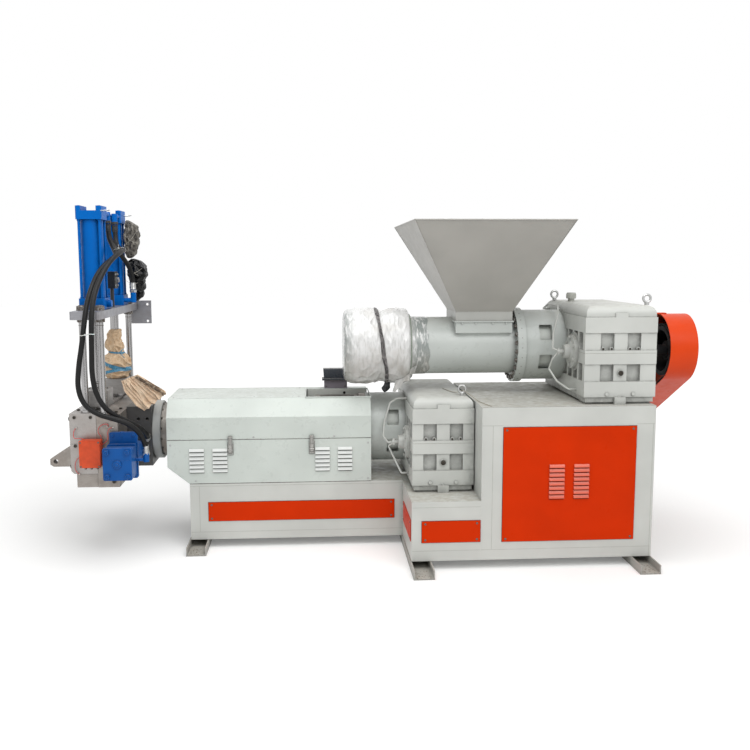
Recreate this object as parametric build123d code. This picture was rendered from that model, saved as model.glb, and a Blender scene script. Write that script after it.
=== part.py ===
from build123d import *
import math
import os

# Plastic pelletizing machine: a hopper-fed extruder above a guarded second one, millimetres.
# X runs along the machine from the die to the belt drive, Y from the front to the back, Z is up.
# The sizes are set out from the axis plane of the lower screw (Y = 0) and from the floor,
# and each group of pieces is chained to the piece that carries it.

# Main base with its step and bench, closed welded housings
BASE_X0 = 234.0
BASE_LENGTH = 1015.0
BASE_FRONT_Y = -811.0
BASE_DEPTH = 1050.0
DECK_Z = 952.0
STEP_LENGTH = 403.0
STEP_TOP_Z = 405.0
STEP_BACK_MARGIN = 17.0
BENCH_LENGTH = 1329.0
BENCH_HALF_W = 309.0
BENCH_TOP_Z = 410.0

# Feet: U-channels laid web down, from front to back
FOOT_W = 120.0
FOOT_H = 53.0
FOOT_T = 7.0
FOOT_OVERHANG = 165.0
FOOT_INSET = 50.0

# Screwed cover panels and their louvres
PANEL_T = 4.0
DOOR_LENGTH = 780.0
DOOR_HEIGHT = 674.0
DOOR_FROM_LEFT = 124.0
DOOR_FROM_DECK = 117.0
STEP_PANEL_LENGTH = 341.0
STEP_PANEL_HEIGHT = 127.0
STEP_PANEL_DROP = 114.0
SIDE_PANEL_LENGTH = 420.0
SIDE_PANEL_INSET = 30.0
BENCH_PANEL_LENGTH = 1162.0
BENCH_PANEL_HEIGHT = 119.0
BENCH_PANEL_FROM_LEFT = 112.0
BENCH_PANEL_DROP = 120.0
LOUVRE_PITCH = 26.0
LOUVRE_H = 19.0
LOUVRE_DEPTH = 8.0
LOUVRE_SKIN = 1.5
DOOR_LOUVRE_LENGTH = 91.0
DOOR_LOUVRE_FROM_LEFT = (270.0, 415.0)
DOOR_LOUVRE_FROM_TOP = 220.0
DOOR_LOUVRE_ROWS = 8
GUARD_LOUVRE_LENGTH = 92.0
GUARD_LOUVRE_FROM_LEFT = (134.0, 277.0, 911.0, 1052.0)
GUARD_LOUVRE_FROM_SEAM = 55.0
GUARD_LOUVRE_ROWS = 6

# Gearboxes: ribbed castings split at the height of their shafts
GEARBOX_LENGTH = 900.0
GEARBOX_SHIM = 12.0
GEARBOX_BASE_H = 30.0
GEARBOX_BOTTOM_BAND = (30.0, 120.0)
GEARBOX_MID_BAND = (222.0, 302.0)
GEARBOX_TOP_BAND = (404.0, 494.0)
GEARBOX_AXIS_H = 286.0
GEARBOX_H = 560.0
GEARBOX_CROWN_R = 46.0
GEARBOX_COLUMN_RECESS = 6.0
GEARBOX_POCKET_DEPTH = 30.0
GEARBOX_POCKET_W = 80.0
GEARBOX_POCKET_PITCH = 158.0
GEARBOX_SIDE_RIB_PITCH = 105.0
GEARBOX_SIDE_RIB_W = 28.0
GEARBOX_OUTPUT_Y = 597.0
GEARBOX_INPUT_Y = 222.0
GEARBOX_LUG_W = 66.0
GEARBOX_LUG_REACH = 14.0
GEARBOX_LUG_DEPTH = 40.0
GEARBOX_PAD_LENGTH = 120.0
GEARBOX_PAD_INSET = 30.0
GEARBOX_CROWN_BOSS = (74.0, 44.0, 26.0)
GEARBOX_PLUG_R = 17.0
POCKET_R = 9.0
POCKET_BOSS_R = 11.0
POCKET_BOSS_SPREAD = 25.0
LOWER_INPUT_DROP = 30.0
UPPER_INPUT_DROP = 8.0
CAP_R = 100.0
CAP_T = 22.0
CAP_NOSE_R = 44.0
CAP_NOSE_LENGTH = 42.0
LOWER_GEARBOX_W = 370.0
LOWER_GEARBOX_GAP = 6.0
UPPER_GEARBOX_W = 424.0
UPPER_GEARBOX_OVERHANG = 13.0
UPPER_GEARBOX_SET_BACK = 59.0
EYE_FROM_FRONT = 96.0
EYE_INSETS = (34.0, 60.0)
EYE_R = 22.0
EYE_WIRE_R = 7.0
EYE_SHANK_R = 14.0
EYE_SHANK_H = 16.0
FILLER_FROM_LEFT = 86.0

# Upper extruder
LANTERN_R = 222.0
LANTERN_WALL = 30.0
LANTERN_LENGTH = 252.0
WINDOW_W = 82.0
WINDOW_H = 91.0
WINDOW_FROM_AXIS = 46.0
WINDOW_FROM_GEARBOX = 84.0
FLANGE_R = 236.0
FLANGE_T = 52.0
BARREL_R = 180.0
BARREL_BORE_R = 110.0
BARREL_LENGTH = 652.0
SCREW_ROOT_R = 64.0
SCREW_PITCH = 190.0
SCREW_FLIGHT_W = 24.0
SCREW_GAP = 1.5
SHANK_R = 80.0
HEAD_R = 200.0
HEAD_LENGTH = 400.0
HEAD_END_T = 60.0
# Film as (distance from the head's closed end, thickness over its radius)
WRAP_PROFILE = [(-22, -24), (-8, 10), (26, 28), (114, 40), (202, 28), (224, 14), (246, 28), (332, 34),
                (378, 16), (392, 6)]
SEAT_GAP = 0.3

# Hopper with its neck and saddle
HOPPER_NECK_LENGTH = 351.0
HOPPER_NECK_DEPTH = 390.0
HOPPER_NECK_FROM_FLANGE = 32.0
HOPPER_NECK_H = 57.0
HOPPER_SEAM_H = 165.0
HOPPER_CONE_H = 542.0
HOPPER_FLARE_LEFT = 305.0
HOPPER_FLARE_RIGHT = 266.0
HOPPER_FLARE_FRONT = 425.0
SADDLE_BOTTOM_H = 91.0
SADDLE_FLANGE = 8.0
THROAT_MARGIN_X = 40.0
THROAT_MARGIN_Y = 100.0
SHEET_T = 5.0

# Belt drive behind its open-backed guard
SHAFT_R = 35.0
SHAFT_FIT = 0.3
SHAFT_SEAT = 50.0
PULLEY_R = 150.0
PULLEY_W = 130.0
PULLEY_WEB_T = 26.0
PULLEY_RIM_T = 26.0
GROOVE_COUNT = 5
GROOVE_DEPTH = 14.0
MOTOR_PULLEY_R = 95.0
MOTOR_SHAFT_R = 28.0
MOTOR_SHAFT_FROM_BACK = 89.0
MOTOR_SHAFT_DROP = 137.0
BELT_T = 9.0
BELT_GAP = 5.5
GUARD_FROM_GEARBOX = 90.0
GUARD_W = 166.0
GUARD_SIDE_GAP = 20.0
GUARD_R = 205.0
GUARD_LOW_R = 150.0
GUARD_RISE = 18.0
GUARD_SHEET = 4.0
GUARD_STRAP_W = 40.0
GUARD_STRAP_T = 8.0
GUARD_STRAP_DROP = 96.0

# Lower extruder and its sheet guard
LOWER_LANTERN_LENGTH = 247.0
LOWER_LANTERN_R = 222.0
LOWER_WINDOW_W = 77.0
LOWER_WINDOW_FROM_GEARBOX = 43.0
LOWER_BARREL_R = 120.0
BARREL_END_R = 170.0
BARREL_END_T = 45.0
COVER_LENGTH = 1262.0
COVER_GAP = 20.0
COVER_TOP_H = 231.0
COVER_CHAMFER_Y = 83.0
COVER_CHAMFER_Z = 108.0
COVER_SEAM_DROP = 16.0
COVER_SHEET = 5.0
COVER_CORNER_H = 107.0
COVER_CORNER_L = 133.0
CUTOUT_LENGTH = 403.0
CUTOUT_Y0 = -226.0
CUTOUT_Y1 = 150.0
CUTOUT_DEPTH = 60.0
MOUTH_LENGTH = 250.0
MOUTH_HALF_W = 90.0
MOUTH_WALL = 14.0
MOUTH_FLANGE = 20.0
MOUTH_TOP_H = 196.0
LATCH_FROM_LEFT = (388.0, 891.0)
# Plate, lever, loop and keeper of a latch as (width, thickness, from, to), heights from the lid's seam
LATCH_PIECES = [(30, 4, -92, -26), (18, 14, -80, -34), (22, 9, -40, 14), (26, 12, 8, 22)]
VENT_FROM_LEFT = 977.0
VENT_LENGTH = 154.0
VENT_DEPTH = 66.0
VENT_BEHIND_CUTOUT = 6.0
VENT_H = 55.0
HOOD_H = 76.0
HOOD_FLARE = 12.0
HOOD_REACH = 14.0
HOOD_RIM_H = 12.0

# Die head with its hydraulic slide gates
END_FLANGE_R = 187.0
END_FLANGE_T = 52.0
DIE_FLANGE_FROM_COVER = 111.0
ADAPTER_LENGTH = 151.0
ADAPTER_HALF_W = 180.0
ADAPTER_UP = 177.0
ADAPTER_DOWN = 201.0
ADAPTER_HOLE_R = 10.0
ADAPTER_HOLES_X = (69.0, 124.0)
ADAPTER_HOLES_UP = 98.0
ADAPTER_HOLE_DEPTH = 40.0
DIE_WIDTH = 282.0
DIE_HALF_DEPTH = 450.0
DIE_UP = 182.0
DIE_DOWN = 183.0
DIE_SEAM_FROM_RIGHT = 125.0
DIE_BACK_STEP = 15.0
DIE_FOOT_DOWN = 268.0
TOP_PLATE_W = 168.0
TOP_PLATE_HALF_DEPTH = 560.0
TOP_PLATE_ABOVE_DIE = 562.0
TOP_PLATE_T = 48.0
PLATE_BRACKET_LENGTH = 138.0
PLATE_BRACKET_H = 160.0
PLATE_BRACKET_T = 12.0
PLATE_BRACKET_FROM_MID = 41.0
PLATE_BRACKET_RISE = 15.0
POST_R = 20.0
POST_X = 52.0
POST_Y = 405.0
CYLINDER_Y = 265.0
CYLINDER_LEFT_OF_MID = 7.0
CYLINDER_W = 152.0
CYLINDER_H = 613.0
CYLINDER_CAP_H = 80.0
CYLINDER_FOOT_H = 67.0
CYLINDER_TUBE_R = 58.0
CYLINDER_SLOT_W = 90.0
CYLINDER_SLOT_DEPTH = 28.0
TIE_ROD_R = 8.0
CYLINDER_EDGE = 8.0
TIE_ROD_OFFSET = 60.0
PORT_R = 22.0
PORT_LENGTH = 26.0
ROD_R = 22.0
ROD_NUT_R = 36.0
ROD_NUT_H = 44.0
GATE_W = 142.0
GATE_H = 103.0
GATE_LIFT = 22.0
GATE_EDGE = 6.0
GATE_NECK_INSET = 22.0
GATE_SEAM_GAP = 32.0
ARM_T = 60.0
ARM_RISE = 8.0
ARM_Y = -255.0
ARM_EYE_R = 14.0
# Side view of the arm as (x, z) from its lower corner on the die block
ARM_OUTLINE = [(0, 159), (0, 0), (-150, 0), (-170, 14), (-170, 48), (-150, 62)]
ARM_EYE = (-136, 33)

# Terminal box and the little gear motor on the front of the die head
TERMINAL_W = 121.0
TERMINAL_H = 160.0
TERMINAL_DEPTH = 75.0
TERMINAL_FROM_LEFT = 69.0
TERMINAL_DROP = 131.0
MOTOR_W = 166.0
MOTOR_H = 191.0
MOTOR_DEPTH = 150.0
MOTOR_FROM_DIE = 55.0
MOTOR_DROP = 186.0
MOTOR_PLATE_W = 163.0
MOTOR_PLATE_H = 279.0
MOTOR_PLATE_T = 25.0
MOTOR_PLATE_INSET = 9.0
MOTOR_PLATE_DROP = 22.0
MOTOR_ARM_R = 52.0
MOTOR_ARM_FROM_MID = 10.0
MOTOR_BOLT_R = 15.0
MOTOR_BOLT_INSET = 24.0
MOTOR_BOLT_T = 14.0
MOTOR_GROOVE_T = 12.0
UNION_R = 18.0
UNION_STUB_R = 11.0
UNION_DROP = 46.0

# Packing material left on for transport, and hoses
# Paper round the rod as (radius, height over the gate)
PAPER_PROFILE = [(72, 0), (94, 60), (90, 130), (64, 170), (82, 215), (60, 280), (44, 315)]
# Loose sheet as (x from the die block, z from the adapter's top)
SHEET_OUTLINE = [(-24, 165), (70, 196), (234, 86), (238, 70), (150, -12), (112, -30), (60, 10), (-8, 100)]
SHEET_FOLD_T = 16.0
GREY_BAG_REACH = 105.0
GREY_BAG_Y = (-40.0, 50.0)
GREY_BAG_Z = (240.0, 488.0)
GREY_BAG_R = 26.0
BLACK_BAG_REACH = 134.0
BLACK_BAG_Y = (-20.0, 95.0)
BLACK_BAG_Z = (-36.0, 236.0)
BLACK_BAG_R = 44.0
VALVE_REACH = 59.0
VALVE_HALF_W = 45.0
VALVE_Z = (50.0, 156.0)
VALVE_PIPE_R = 12.0
HOSE_R = 15.0
PIPE_R = 6.0
PIPE_BEND_R = 14.0
# Oil pipes, from the point where the input shaft's axis meets the left face of the gearbox
OIL_UNION = (-CAP_T - CAP_NOSE_LENGTH - 26, 0, 0)
UPPER_OIL_FEED = [(6, 590, 226), (-38, 590, 226), (-48, 435, 262), (-48, 200, 264), (-61, 150, 207),
                  (-105, 80, 97), (-124, 14, 16), OIL_UNION]
UPPER_OIL_RETURN = [OIL_UNION, (-122, 26, -50), (-133, 60, -112), (-96, 10, -182), (-44, -70, -222),
                    (0, -70, -222)]
LOWER_OIL_FEED = [(6, 145, 248), (-60, 145, 248), (-104, 137, 220), (-140, 133, 94), (-150, 75, 18),
                  (-124, 22, -10), OIL_UNION]
LOWER_OIL_RETURN = [OIL_UNION, (-122, 30, -33), (-82, 25, -118), (-46, -25, -193), (0, -25, -193)]
FRONT_HOSE = [(-1984, -100, 2010), (-1984, -100, 1938), (-1950, -122, 1864), (-1914, -200, 1818),
              (-1918, -302, 1797), (-1948, -388, 1760), (-1980, -455, 1698), (-2000, -525, 1615),
              (-2010, -595, 1528), (-2018, -632, 1425), (-2034, -634, 1310), (-2060, -626, 1185),
              (-2074, -616, 1055), (-2042, -610, 960), (-1970, -604, 905), (-1882, -600, 878),
              (-1800, -588, 848), (-1743, -556, 785), (-1720, -516, 706), (-1722, -500, 660)]
REAR_HOSE = [(-1984, 100, 2010), (-1984, 100, 1930), (-1962, 52, 1872), (-1914, -45, 1848),
             (-1884, -150, 1850), (-1876, -262, 1838), (-1896, -365, 1806), (-1924, -440, 1752),
             (-1950, -505, 1680), (-1968, -575, 1595), (-1972, -635, 1500), (-1974, -650, 1390),
             (-1980, -638, 1265), (-1990, -615, 1140), (-1976, -598, 1020), (-1925, -580, 925),
             (-1850, -540, 868), (-1790, -475, 822), (-1752, -398, 770), (-1744, -318, 718),
             (-1762, -240, 690)]
SHORT_HOSE = [(-2026, 100, 2010), (-2026, 100, 1938), (-1985, 108, 1862), (-1940, 142, 1795),
              (-1912, 185, 1730), (-1905, 212, 1665), (-1905, 212, 1600)]

BASE_X1 = BASE_X0 + BASE_LENGTH
BASE_BACK_Y = BASE_FRONT_Y + BASE_DEPTH
STEP_X0 = BASE_X0 - STEP_LENGTH
BENCH_X0 = STEP_X0 - BENCH_LENGTH
LOWER_AXIS_Z = STEP_TOP_Z + GEARBOX_SHIM + GEARBOX_AXIS_H
UPPER_AXIS_Z = DECK_Z + GEARBOX_SHIM + GEARBOX_AXIS_H

LOWER_GEARBOX_X0 = BASE_X0 - LOWER_GEARBOX_GAP - LOWER_GEARBOX_W
LOWER_GEARBOX_Y0 = -GEARBOX_OUTPUT_Y
STEP_BACK_Y = LOWER_GEARBOX_Y0 + GEARBOX_LENGTH + STEP_BACK_MARGIN
UPPER_GEARBOX_X1 = BASE_X1 + UPPER_GEARBOX_OVERHANG
UPPER_GEARBOX_X0 = UPPER_GEARBOX_X1 - UPPER_GEARBOX_W
UPPER_GEARBOX_Y0 = BASE_FRONT_Y + UPPER_GEARBOX_SET_BACK
UPPER_AXIS_Y = UPPER_GEARBOX_Y0 + GEARBOX_OUTPUT_Y
INPUT_Y = UPPER_GEARBOX_Y0 + GEARBOX_INPUT_Y
INPUT_Z = UPPER_AXIS_Z - UPPER_INPUT_DROP
LOWER_INPUT_Y = LOWER_GEARBOX_Y0 + GEARBOX_INPUT_Y
LOWER_INPUT_Z = LOWER_AXIS_Z - LOWER_INPUT_DROP

FLANGE_X1 = UPPER_GEARBOX_X0 - LANTERN_LENGTH
FLANGE_X0 = FLANGE_X1 - FLANGE_T
BARREL_X0 = FLANGE_X0 - BARREL_LENGTH
HEAD_X0 = BARREL_X0 - HEAD_LENGTH
NECK_X1 = FLANGE_X0 - HOPPER_NECK_FROM_FLANGE
NECK_X0 = NECK_X1 - HOPPER_NECK_LENGTH
SEAM_Z = UPPER_AXIS_Z + HOPPER_SEAM_H
NECK_Z = SEAM_Z + HOPPER_NECK_H
RIM_Z = NECK_Z + HOPPER_CONE_H

GUARD_X0 = UPPER_GEARBOX_X1 + GUARD_FROM_GEARBOX
GUARD_X1 = GUARD_X0 + GUARD_W
PULLEY_X0 = GUARD_X0 + GUARD_SIDE_GAP
PULLEY_X1 = PULLEY_X0 + PULLEY_W
MOTOR_SHAFT_Y = BASE_BACK_Y - MOTOR_SHAFT_FROM_BACK
MOTOR_SHAFT_Z = DECK_Z - MOTOR_SHAFT_DROP

COVER_X1 = LOWER_GEARBOX_X0 - LOWER_LANTERN_LENGTH + COVER_GAP
COVER_X0 = COVER_X1 - COVER_LENGTH
COVER_TOP_Z = LOWER_AXIS_Z + COVER_TOP_H
COVER_SEAM_Z = LOWER_AXIS_Z - COVER_SEAM_DROP
LANTERN_X0 = LOWER_GEARBOX_X0 - LOWER_LANTERN_LENGTH
DIE_FLANGE_X0 = COVER_X0 - DIE_FLANGE_FROM_COVER
DIE_FLANGE_X1 = DIE_FLANGE_X0 + END_FLANGE_T
DIE_X1 = DIE_FLANGE_X0 - ADAPTER_LENGTH
DIE_X0 = DIE_X1 - DIE_WIDTH
DIE_X = (DIE_X0 + DIE_X1) / 2
DIE_SEAM_X = DIE_X1 - DIE_SEAM_FROM_RIGHT
CYLINDER_X = DIE_X - CYLINDER_LEFT_OF_MID
DIE_TOP_Z = LOWER_AXIS_Z + DIE_UP
DIE_BOTTOM_Z = LOWER_AXIS_Z - DIE_DOWN
DIE_FOOT_Z = LOWER_AXIS_Z - DIE_FOOT_DOWN
PLATE_Z = DIE_TOP_Z + TOP_PLATE_ABOVE_DIE
PLATE_TOP_Z = PLATE_Z + TOP_PLATE_T
CYLINDER_TOP_Z = PLATE_TOP_Z + CYLINDER_H
GATE_TOP_Z = DIE_TOP_Z + GATE_LIFT + GATE_H
ARM_X0 = DIE_X0 + min(x for x, z in ARM_OUTLINE)

# The origin lies on the floor under the middle of the machine's overall box
FRONT_Y = BASE_FRONT_Y - FOOT_OVERHANG
BACK_Y = TOP_PLATE_HALF_DEPTH + PLATE_BRACKET_T
ORIGIN_X = (ARM_X0 + GUARD_X1) / 2
ORIGIN_Y = (FRONT_Y + BACK_Y) / 2


def block(x0, x1, y0, y1, z0, z1):
    """Box between two corners."""
    centre = Pos((x0 + x1) / 2, (y0 + y1) / 2, (z0 + z1) / 2)
    return centre * Box(x1 - x0, y1 - y0, z1 - z0)


def bar_x(x0, x1, y, z, radius):
    """Round bar lying along X."""
    return Pos((x0 + x1) / 2, y, z) * Rot(0, 90, 0) * Cylinder(radius, x1 - x0)


def bar_y(x, y0, y1, z, radius):
    """Round bar lying along Y."""
    return Pos(x, (y0 + y1) / 2, z) * Rot(90, 0, 0) * Cylinder(radius, y1 - y0)


def bar_z(x, y, z0, z1, radius):
    """Round bar standing along Z."""
    return Pos(x, y, (z0 + z1) / 2) * Cylinder(radius, z1 - z0)


def prism_x(points, x0, x1):
    """Outline of (y, z) points pushed along X."""
    outline = Plane.YZ * Polyline(*points, close=True)
    return Pos(x0, 0, 0) * extrude(make_face(outline), x1 - x0, dir=(1, 0, 0))


def prism_y(points, y0, y1):
    """Outline of (x, z) points pushed along Y."""
    outline = Plane.XZ * Polyline(*points, close=True)
    return Pos(0, y0, 0) * extrude(make_face(outline), y1 - y0, dir=(0, 1, 0))


def turned_x(profile, y, z):
    """Body turned round an axis along X from (x, radius) points."""
    face = make_face(Polyline(*profile, close=True))
    return Pos(0, y, z) * revolve(face, axis=Axis.X)


def frustum(low, z0, high, z1):
    """Four-sided funnel body between two rectangles (x0, x1, y0, y1)."""
    def rect(edges, z):
        x0, x1, y0, y1 = edges
        return Pos((x0 + x1) / 2, (y0 + y1) / 2, z) * Rectangle(x1 - x0, y1 - y0)
    return loft([rect(low, z0), rect(high, z1)])


def inset(edges, margin):
    x0, x1, y0, y1 = edges
    return (x0 + margin, x1 - margin, y0 + margin, y1 - margin)


def louvre(x0, x1, y, z, out):
    """Pressed hood on the face at y, open below; out is -1 on a front face and 1 on a back face."""
    tip = y + out * LOUVRE_DEPTH
    hood = prism_x([(y, z), (tip, z), (y, z + LOUVRE_H)], x0, x1)
    inner_tip = y + out * (LOUVRE_DEPTH - 2 * LOUVRE_SKIN)
    slot = prism_x([(y, z - 1), (inner_tip, z - 1), (inner_tip, z), (y, z + LOUVRE_H * 0.6)],
                   x0 + LOUVRE_SKIN, x1 - LOUVRE_SKIN)
    return hood - slot


def foot_channels():
    """Three U-channels that carry the machine, with rounded inner corners."""
    feet = []
    bench_y = BENCH_HALF_W + FOOT_OVERHANG
    back_y = BASE_BACK_Y + FOOT_OVERHANG
    for x, y0, y1 in ((BENCH_X0 + FOOT_INSET, -bench_y, bench_y), (STEP_X0 + FOOT_INSET + 5, FRONT_Y, back_y),
                      (BASE_X1 - FOOT_W / 2, FRONT_Y, back_y)):
        left = x - FOOT_W / 2
        right = x + FOOT_W / 2
        inner = block(left + FOOT_T, right - FOOT_T, y0 - 1, y1 + 1, FOOT_T, FOOT_H + 20)
        inner = fillet(inner.edges().filter_by(Axis.Y).group_by(Axis.Z)[0], FOOT_T)
        feet.append(block(left, right, y0, y1, 0, FOOT_H) - inner)
    return Compound(feet)


def cabinet_door():
    """Screwed front panel of the base with two columns of louvres."""
    x0 = BASE_X0 + DOOR_FROM_LEFT
    top = DECK_Z - DOOR_FROM_DECK
    face = BASE_FRONT_Y - PANEL_T
    door = block(x0, x0 + DOOR_LENGTH, face, BASE_FRONT_Y, top - DOOR_HEIGHT, top)
    for start in DOOR_LOUVRE_FROM_LEFT:
        for row in range(DOOR_LOUVRE_ROWS):
            z = top - DOOR_LOUVRE_FROM_TOP - LOUVRE_H - row * LOUVRE_PITCH
            door += louvre(x0 + start, x0 + start + DOOR_LOUVRE_LENGTH, face, z, -1)
    return door


def step_panels():
    """Front and end panels of the step under the lower gearbox."""
    top = STEP_TOP_Z - STEP_PANEL_DROP
    bottom = top - STEP_PANEL_HEIGHT
    front_x1 = BASE_X0 - 3
    front = block(front_x1 - STEP_PANEL_LENGTH, front_x1, BASE_FRONT_Y - PANEL_T, BASE_FRONT_Y, bottom, top)
    side_y = BASE_FRONT_Y + SIDE_PANEL_INSET
    side = block(STEP_X0 - PANEL_T, STEP_X0, side_y, side_y + SIDE_PANEL_LENGTH, bottom, top)
    return Compound([front, side])


def gearbox_halves(x0, width, y0, seat_z, lantern_r, input_z):
    """Ribbed cast housing with its shims, foot lugs and pockets, cut in two at its shafts."""
    x1 = x0 + width
    y1 = y0 + GEARBOX_LENGTH
    mid_x = (x0 + x1) / 2
    recess = GEARBOX_COLUMN_RECESS
    body = block(x0, x1, y0, y1, seat_z + GEARBOX_BASE_H, seat_z + GEARBOX_TOP_BAND[1])
    crown = block(x0 + recess, x1 - recess, y0 + recess, y1 - recess, seat_z + GEARBOX_TOP_BAND[1],
                  seat_z + GEARBOX_H)
    body += fillet(crown.edges().group_by(Axis.Z)[-1], GEARBOX_CROWN_R)
    body += block(x0 + 10, x1 - 10, y0 + 10, y1 - 10, seat_z, seat_z + GEARBOX_BASE_H)
    for y in (y0 + GEARBOX_PAD_INSET, y1 - GEARBOX_PAD_INSET - GEARBOX_PAD_LENGTH):
        body += block(x0 + 20, x1 - 20, y, y + GEARBOX_PAD_LENGTH, seat_z - GEARBOX_SHIM, seat_z)
    cutters = []
    levels = ((GEARBOX_BOTTOM_BAND[1], GEARBOX_MID_BAND[0]), (GEARBOX_MID_BAND[1], GEARBOX_TOP_BAND[0]))
    for low, high in levels:
        z0 = seat_z + low
        z1 = seat_z + high
        for face_y, out in ((y0, 1), (y1, -1)):
            cutters.append(block(x0 - 1, x1 + 1, min(face_y - out, face_y + out * recess),
                                 max(face_y - out, face_y + out * recess), z0, z1))
            for side in (-1, 1):
                x = mid_x + side * GEARBOX_POCKET_PITCH / 2
                deep = face_y + out * GEARBOX_POCKET_DEPTH
                pocket = block(x - GEARBOX_POCKET_W / 2, x + GEARBOX_POCKET_W / 2, min(face_y, deep),
                               max(face_y, deep), z0, z1)
                cutters.append(fillet(pocket.edges().filter_by(Axis.Y), POCKET_R))
        rib_count = int((GEARBOX_LENGTH - GEARBOX_SIDE_RIB_W) // GEARBOX_SIDE_RIB_PITCH)
        margin = (GEARBOX_LENGTH - rib_count * GEARBOX_SIDE_RIB_PITCH + GEARBOX_SIDE_RIB_W) / 2
        for i in range(rib_count):
            y = y0 + margin + i * GEARBOX_SIDE_RIB_PITCH
            end = y + GEARBOX_SIDE_RIB_PITCH - GEARBOX_SIDE_RIB_W
            cutters.append(block(x0 - 1, x0 + GEARBOX_POCKET_DEPTH, y, end, z0, z1))
            cutters.append(block(x1 - GEARBOX_POCKET_DEPTH, x1 + 1, y, end, z0, z1))
    body -= cutters
    axis_z = seat_z + GEARBOX_AXIS_H
    bosses = [bar_x(x0, x0 + GEARBOX_POCKET_DEPTH, y0 + GEARBOX_OUTPUT_Y, axis_z, lantern_r + 10),
              bar_x(x0, x0 + GEARBOX_POCKET_DEPTH, y0 + GEARBOX_INPUT_Y, input_z, CAP_R + 16),
              bar_x(x1 - GEARBOX_POCKET_DEPTH, x1, y0 + GEARBOX_INPUT_Y, input_z, CAP_R + 16)]
    for side in (-1, 1):
        for dx in (-POCKET_BOSS_SPREAD, POCKET_BOSS_SPREAD):
            x = mid_x + side * GEARBOX_POCKET_PITCH / 2 + dx
            bosses.append(bar_y(x, y0 + recess, y0 + GEARBOX_POCKET_DEPTH, seat_z + GEARBOX_MID_BAND[1] + 9,
                                POCKET_BOSS_R))
    boss_w, boss_depth, boss_h = GEARBOX_CROWN_BOSS
    bosses.append(block(mid_x - boss_w / 2, mid_x + boss_w / 2, y0, y0 + boss_depth,
                        seat_z + GEARBOX_TOP_BAND[1] - 10, seat_z + GEARBOX_TOP_BAND[1] + boss_h))
    for y in (y0 - GEARBOX_LUG_REACH, y1 + GEARBOX_LUG_REACH - GEARBOX_LUG_DEPTH):
        bosses.append(block(mid_x - GEARBOX_LUG_W / 2, mid_x + GEARBOX_LUG_W / 2, y, y + GEARBOX_LUG_DEPTH,
                            seat_z - GEARBOX_SHIM, seat_z + GEARBOX_BOTTOM_BAND[0]))
    body += bosses
    body += bar_y(mid_x, y0 - 8, y0 + recess, seat_z + (levels[0][0] + levels[0][1]) / 2, GEARBOX_PLUG_R)
    case = body & block(x0 - 50, x1 + 50, y0 - 50, y1 + 50, seat_z - GEARBOX_SHIM - 1, axis_z)
    cover = body & block(x0 - 50, x1 + 50, y0 - 50, y1 + 50, axis_z, seat_z + GEARBOX_H + 50)
    return case, cover


def bearing_caps():
    """Bolted caps with an oil union on the left side of both gearboxes."""
    caps = []
    for x, y, z in ((UPPER_GEARBOX_X0, INPUT_Y, INPUT_Z), (LOWER_GEARBOX_X0, LOWER_INPUT_Y, LOWER_INPUT_Z)):
        profile = [(x, 0), (x, CAP_R), (x - CAP_T, CAP_R), (x - CAP_T, CAP_NOSE_R + 18),
                   (x - CAP_T - 10, CAP_NOSE_R), (x - CAP_T - CAP_NOSE_LENGTH, CAP_NOSE_R - 4),
                   (x - CAP_T - CAP_NOSE_LENGTH, 0)]
        caps.append(turned_x(profile, y, z))
    return Compound(caps)


def pulley_bearing_cap():
    """Ring on the right of the upper gearbox in which the pulley's shaft turns."""
    x = UPPER_GEARBOX_X1
    inner = SHAFT_R + SHAFT_FIT
    profile = [(x, inner), (x, CAP_R), (x + 12, CAP_R), (x + CAP_T, CAP_R - 10), (x + CAP_T, inner)]
    return turned_x(profile, INPUT_Y, INPUT_Z)


def grooved_profile(radius, inner_r):
    """Half outline of a V-belt pulley as (x, radius) points."""
    points = [(PULLEY_X0, inner_r), (PULLEY_X0, radius)]
    pitch = PULLEY_W / GROOVE_COUNT
    for i in range(GROOVE_COUNT):
        x = PULLEY_X0 + i * pitch
        points += [(x + pitch * 0.16, radius), (x + pitch * 0.34, radius - GROOVE_DEPTH),
                   (x + pitch * 0.66, radius - GROOVE_DEPTH), (x + pitch * 0.84, radius)]
    points += [(PULLEY_X1, radius), (PULLEY_X1, inner_r)]
    return points


def drive_pulley():
    """Grooved pulley with a holed web and the gearbox input shaft that carries it."""
    rim = turned_x(grooved_profile(PULLEY_R, PULLEY_R - PULLEY_RIM_T), INPUT_Y, INPUT_Z)
    web_x = PULLEY_X1 - PULLEY_WEB_T - 20
    web = bar_x(web_x, web_x + PULLEY_WEB_T, INPUT_Y, INPUT_Z, PULLEY_R - PULLEY_RIM_T + 1)
    hole_ring = (PULLEY_R - PULLEY_RIM_T + SHAFT_R + 25) / 2
    for i in range(6):
        turn = math.radians(60 * i)
        web -= bar_x(web_x - 1, web_x + PULLEY_WEB_T + 1, INPUT_Y + hole_ring * math.cos(turn),
                     INPUT_Z + hole_ring * math.sin(turn), 21)
    hub = bar_x(PULLEY_X0 + 30, PULLEY_X1, INPUT_Y, INPUT_Z, SHAFT_R + 25)
    shaft = bar_x(UPPER_GEARBOX_X1 - SHAFT_SEAT, PULLEY_X1 + 6, INPUT_Y, INPUT_Z, SHAFT_R)
    return rim + web + hub + shaft


def motor_pulley():
    """Small grooved pulley on the stub shaft that comes out of the base."""
    pulley = turned_x(grooved_profile(MOTOR_PULLEY_R, 0), MOTOR_SHAFT_Y, MOTOR_SHAFT_Z)
    return pulley + bar_x(BASE_X1, PULLEY_X0 + 1, MOTOR_SHAFT_Y, MOTOR_SHAFT_Z, MOTOR_SHAFT_R)


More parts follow.
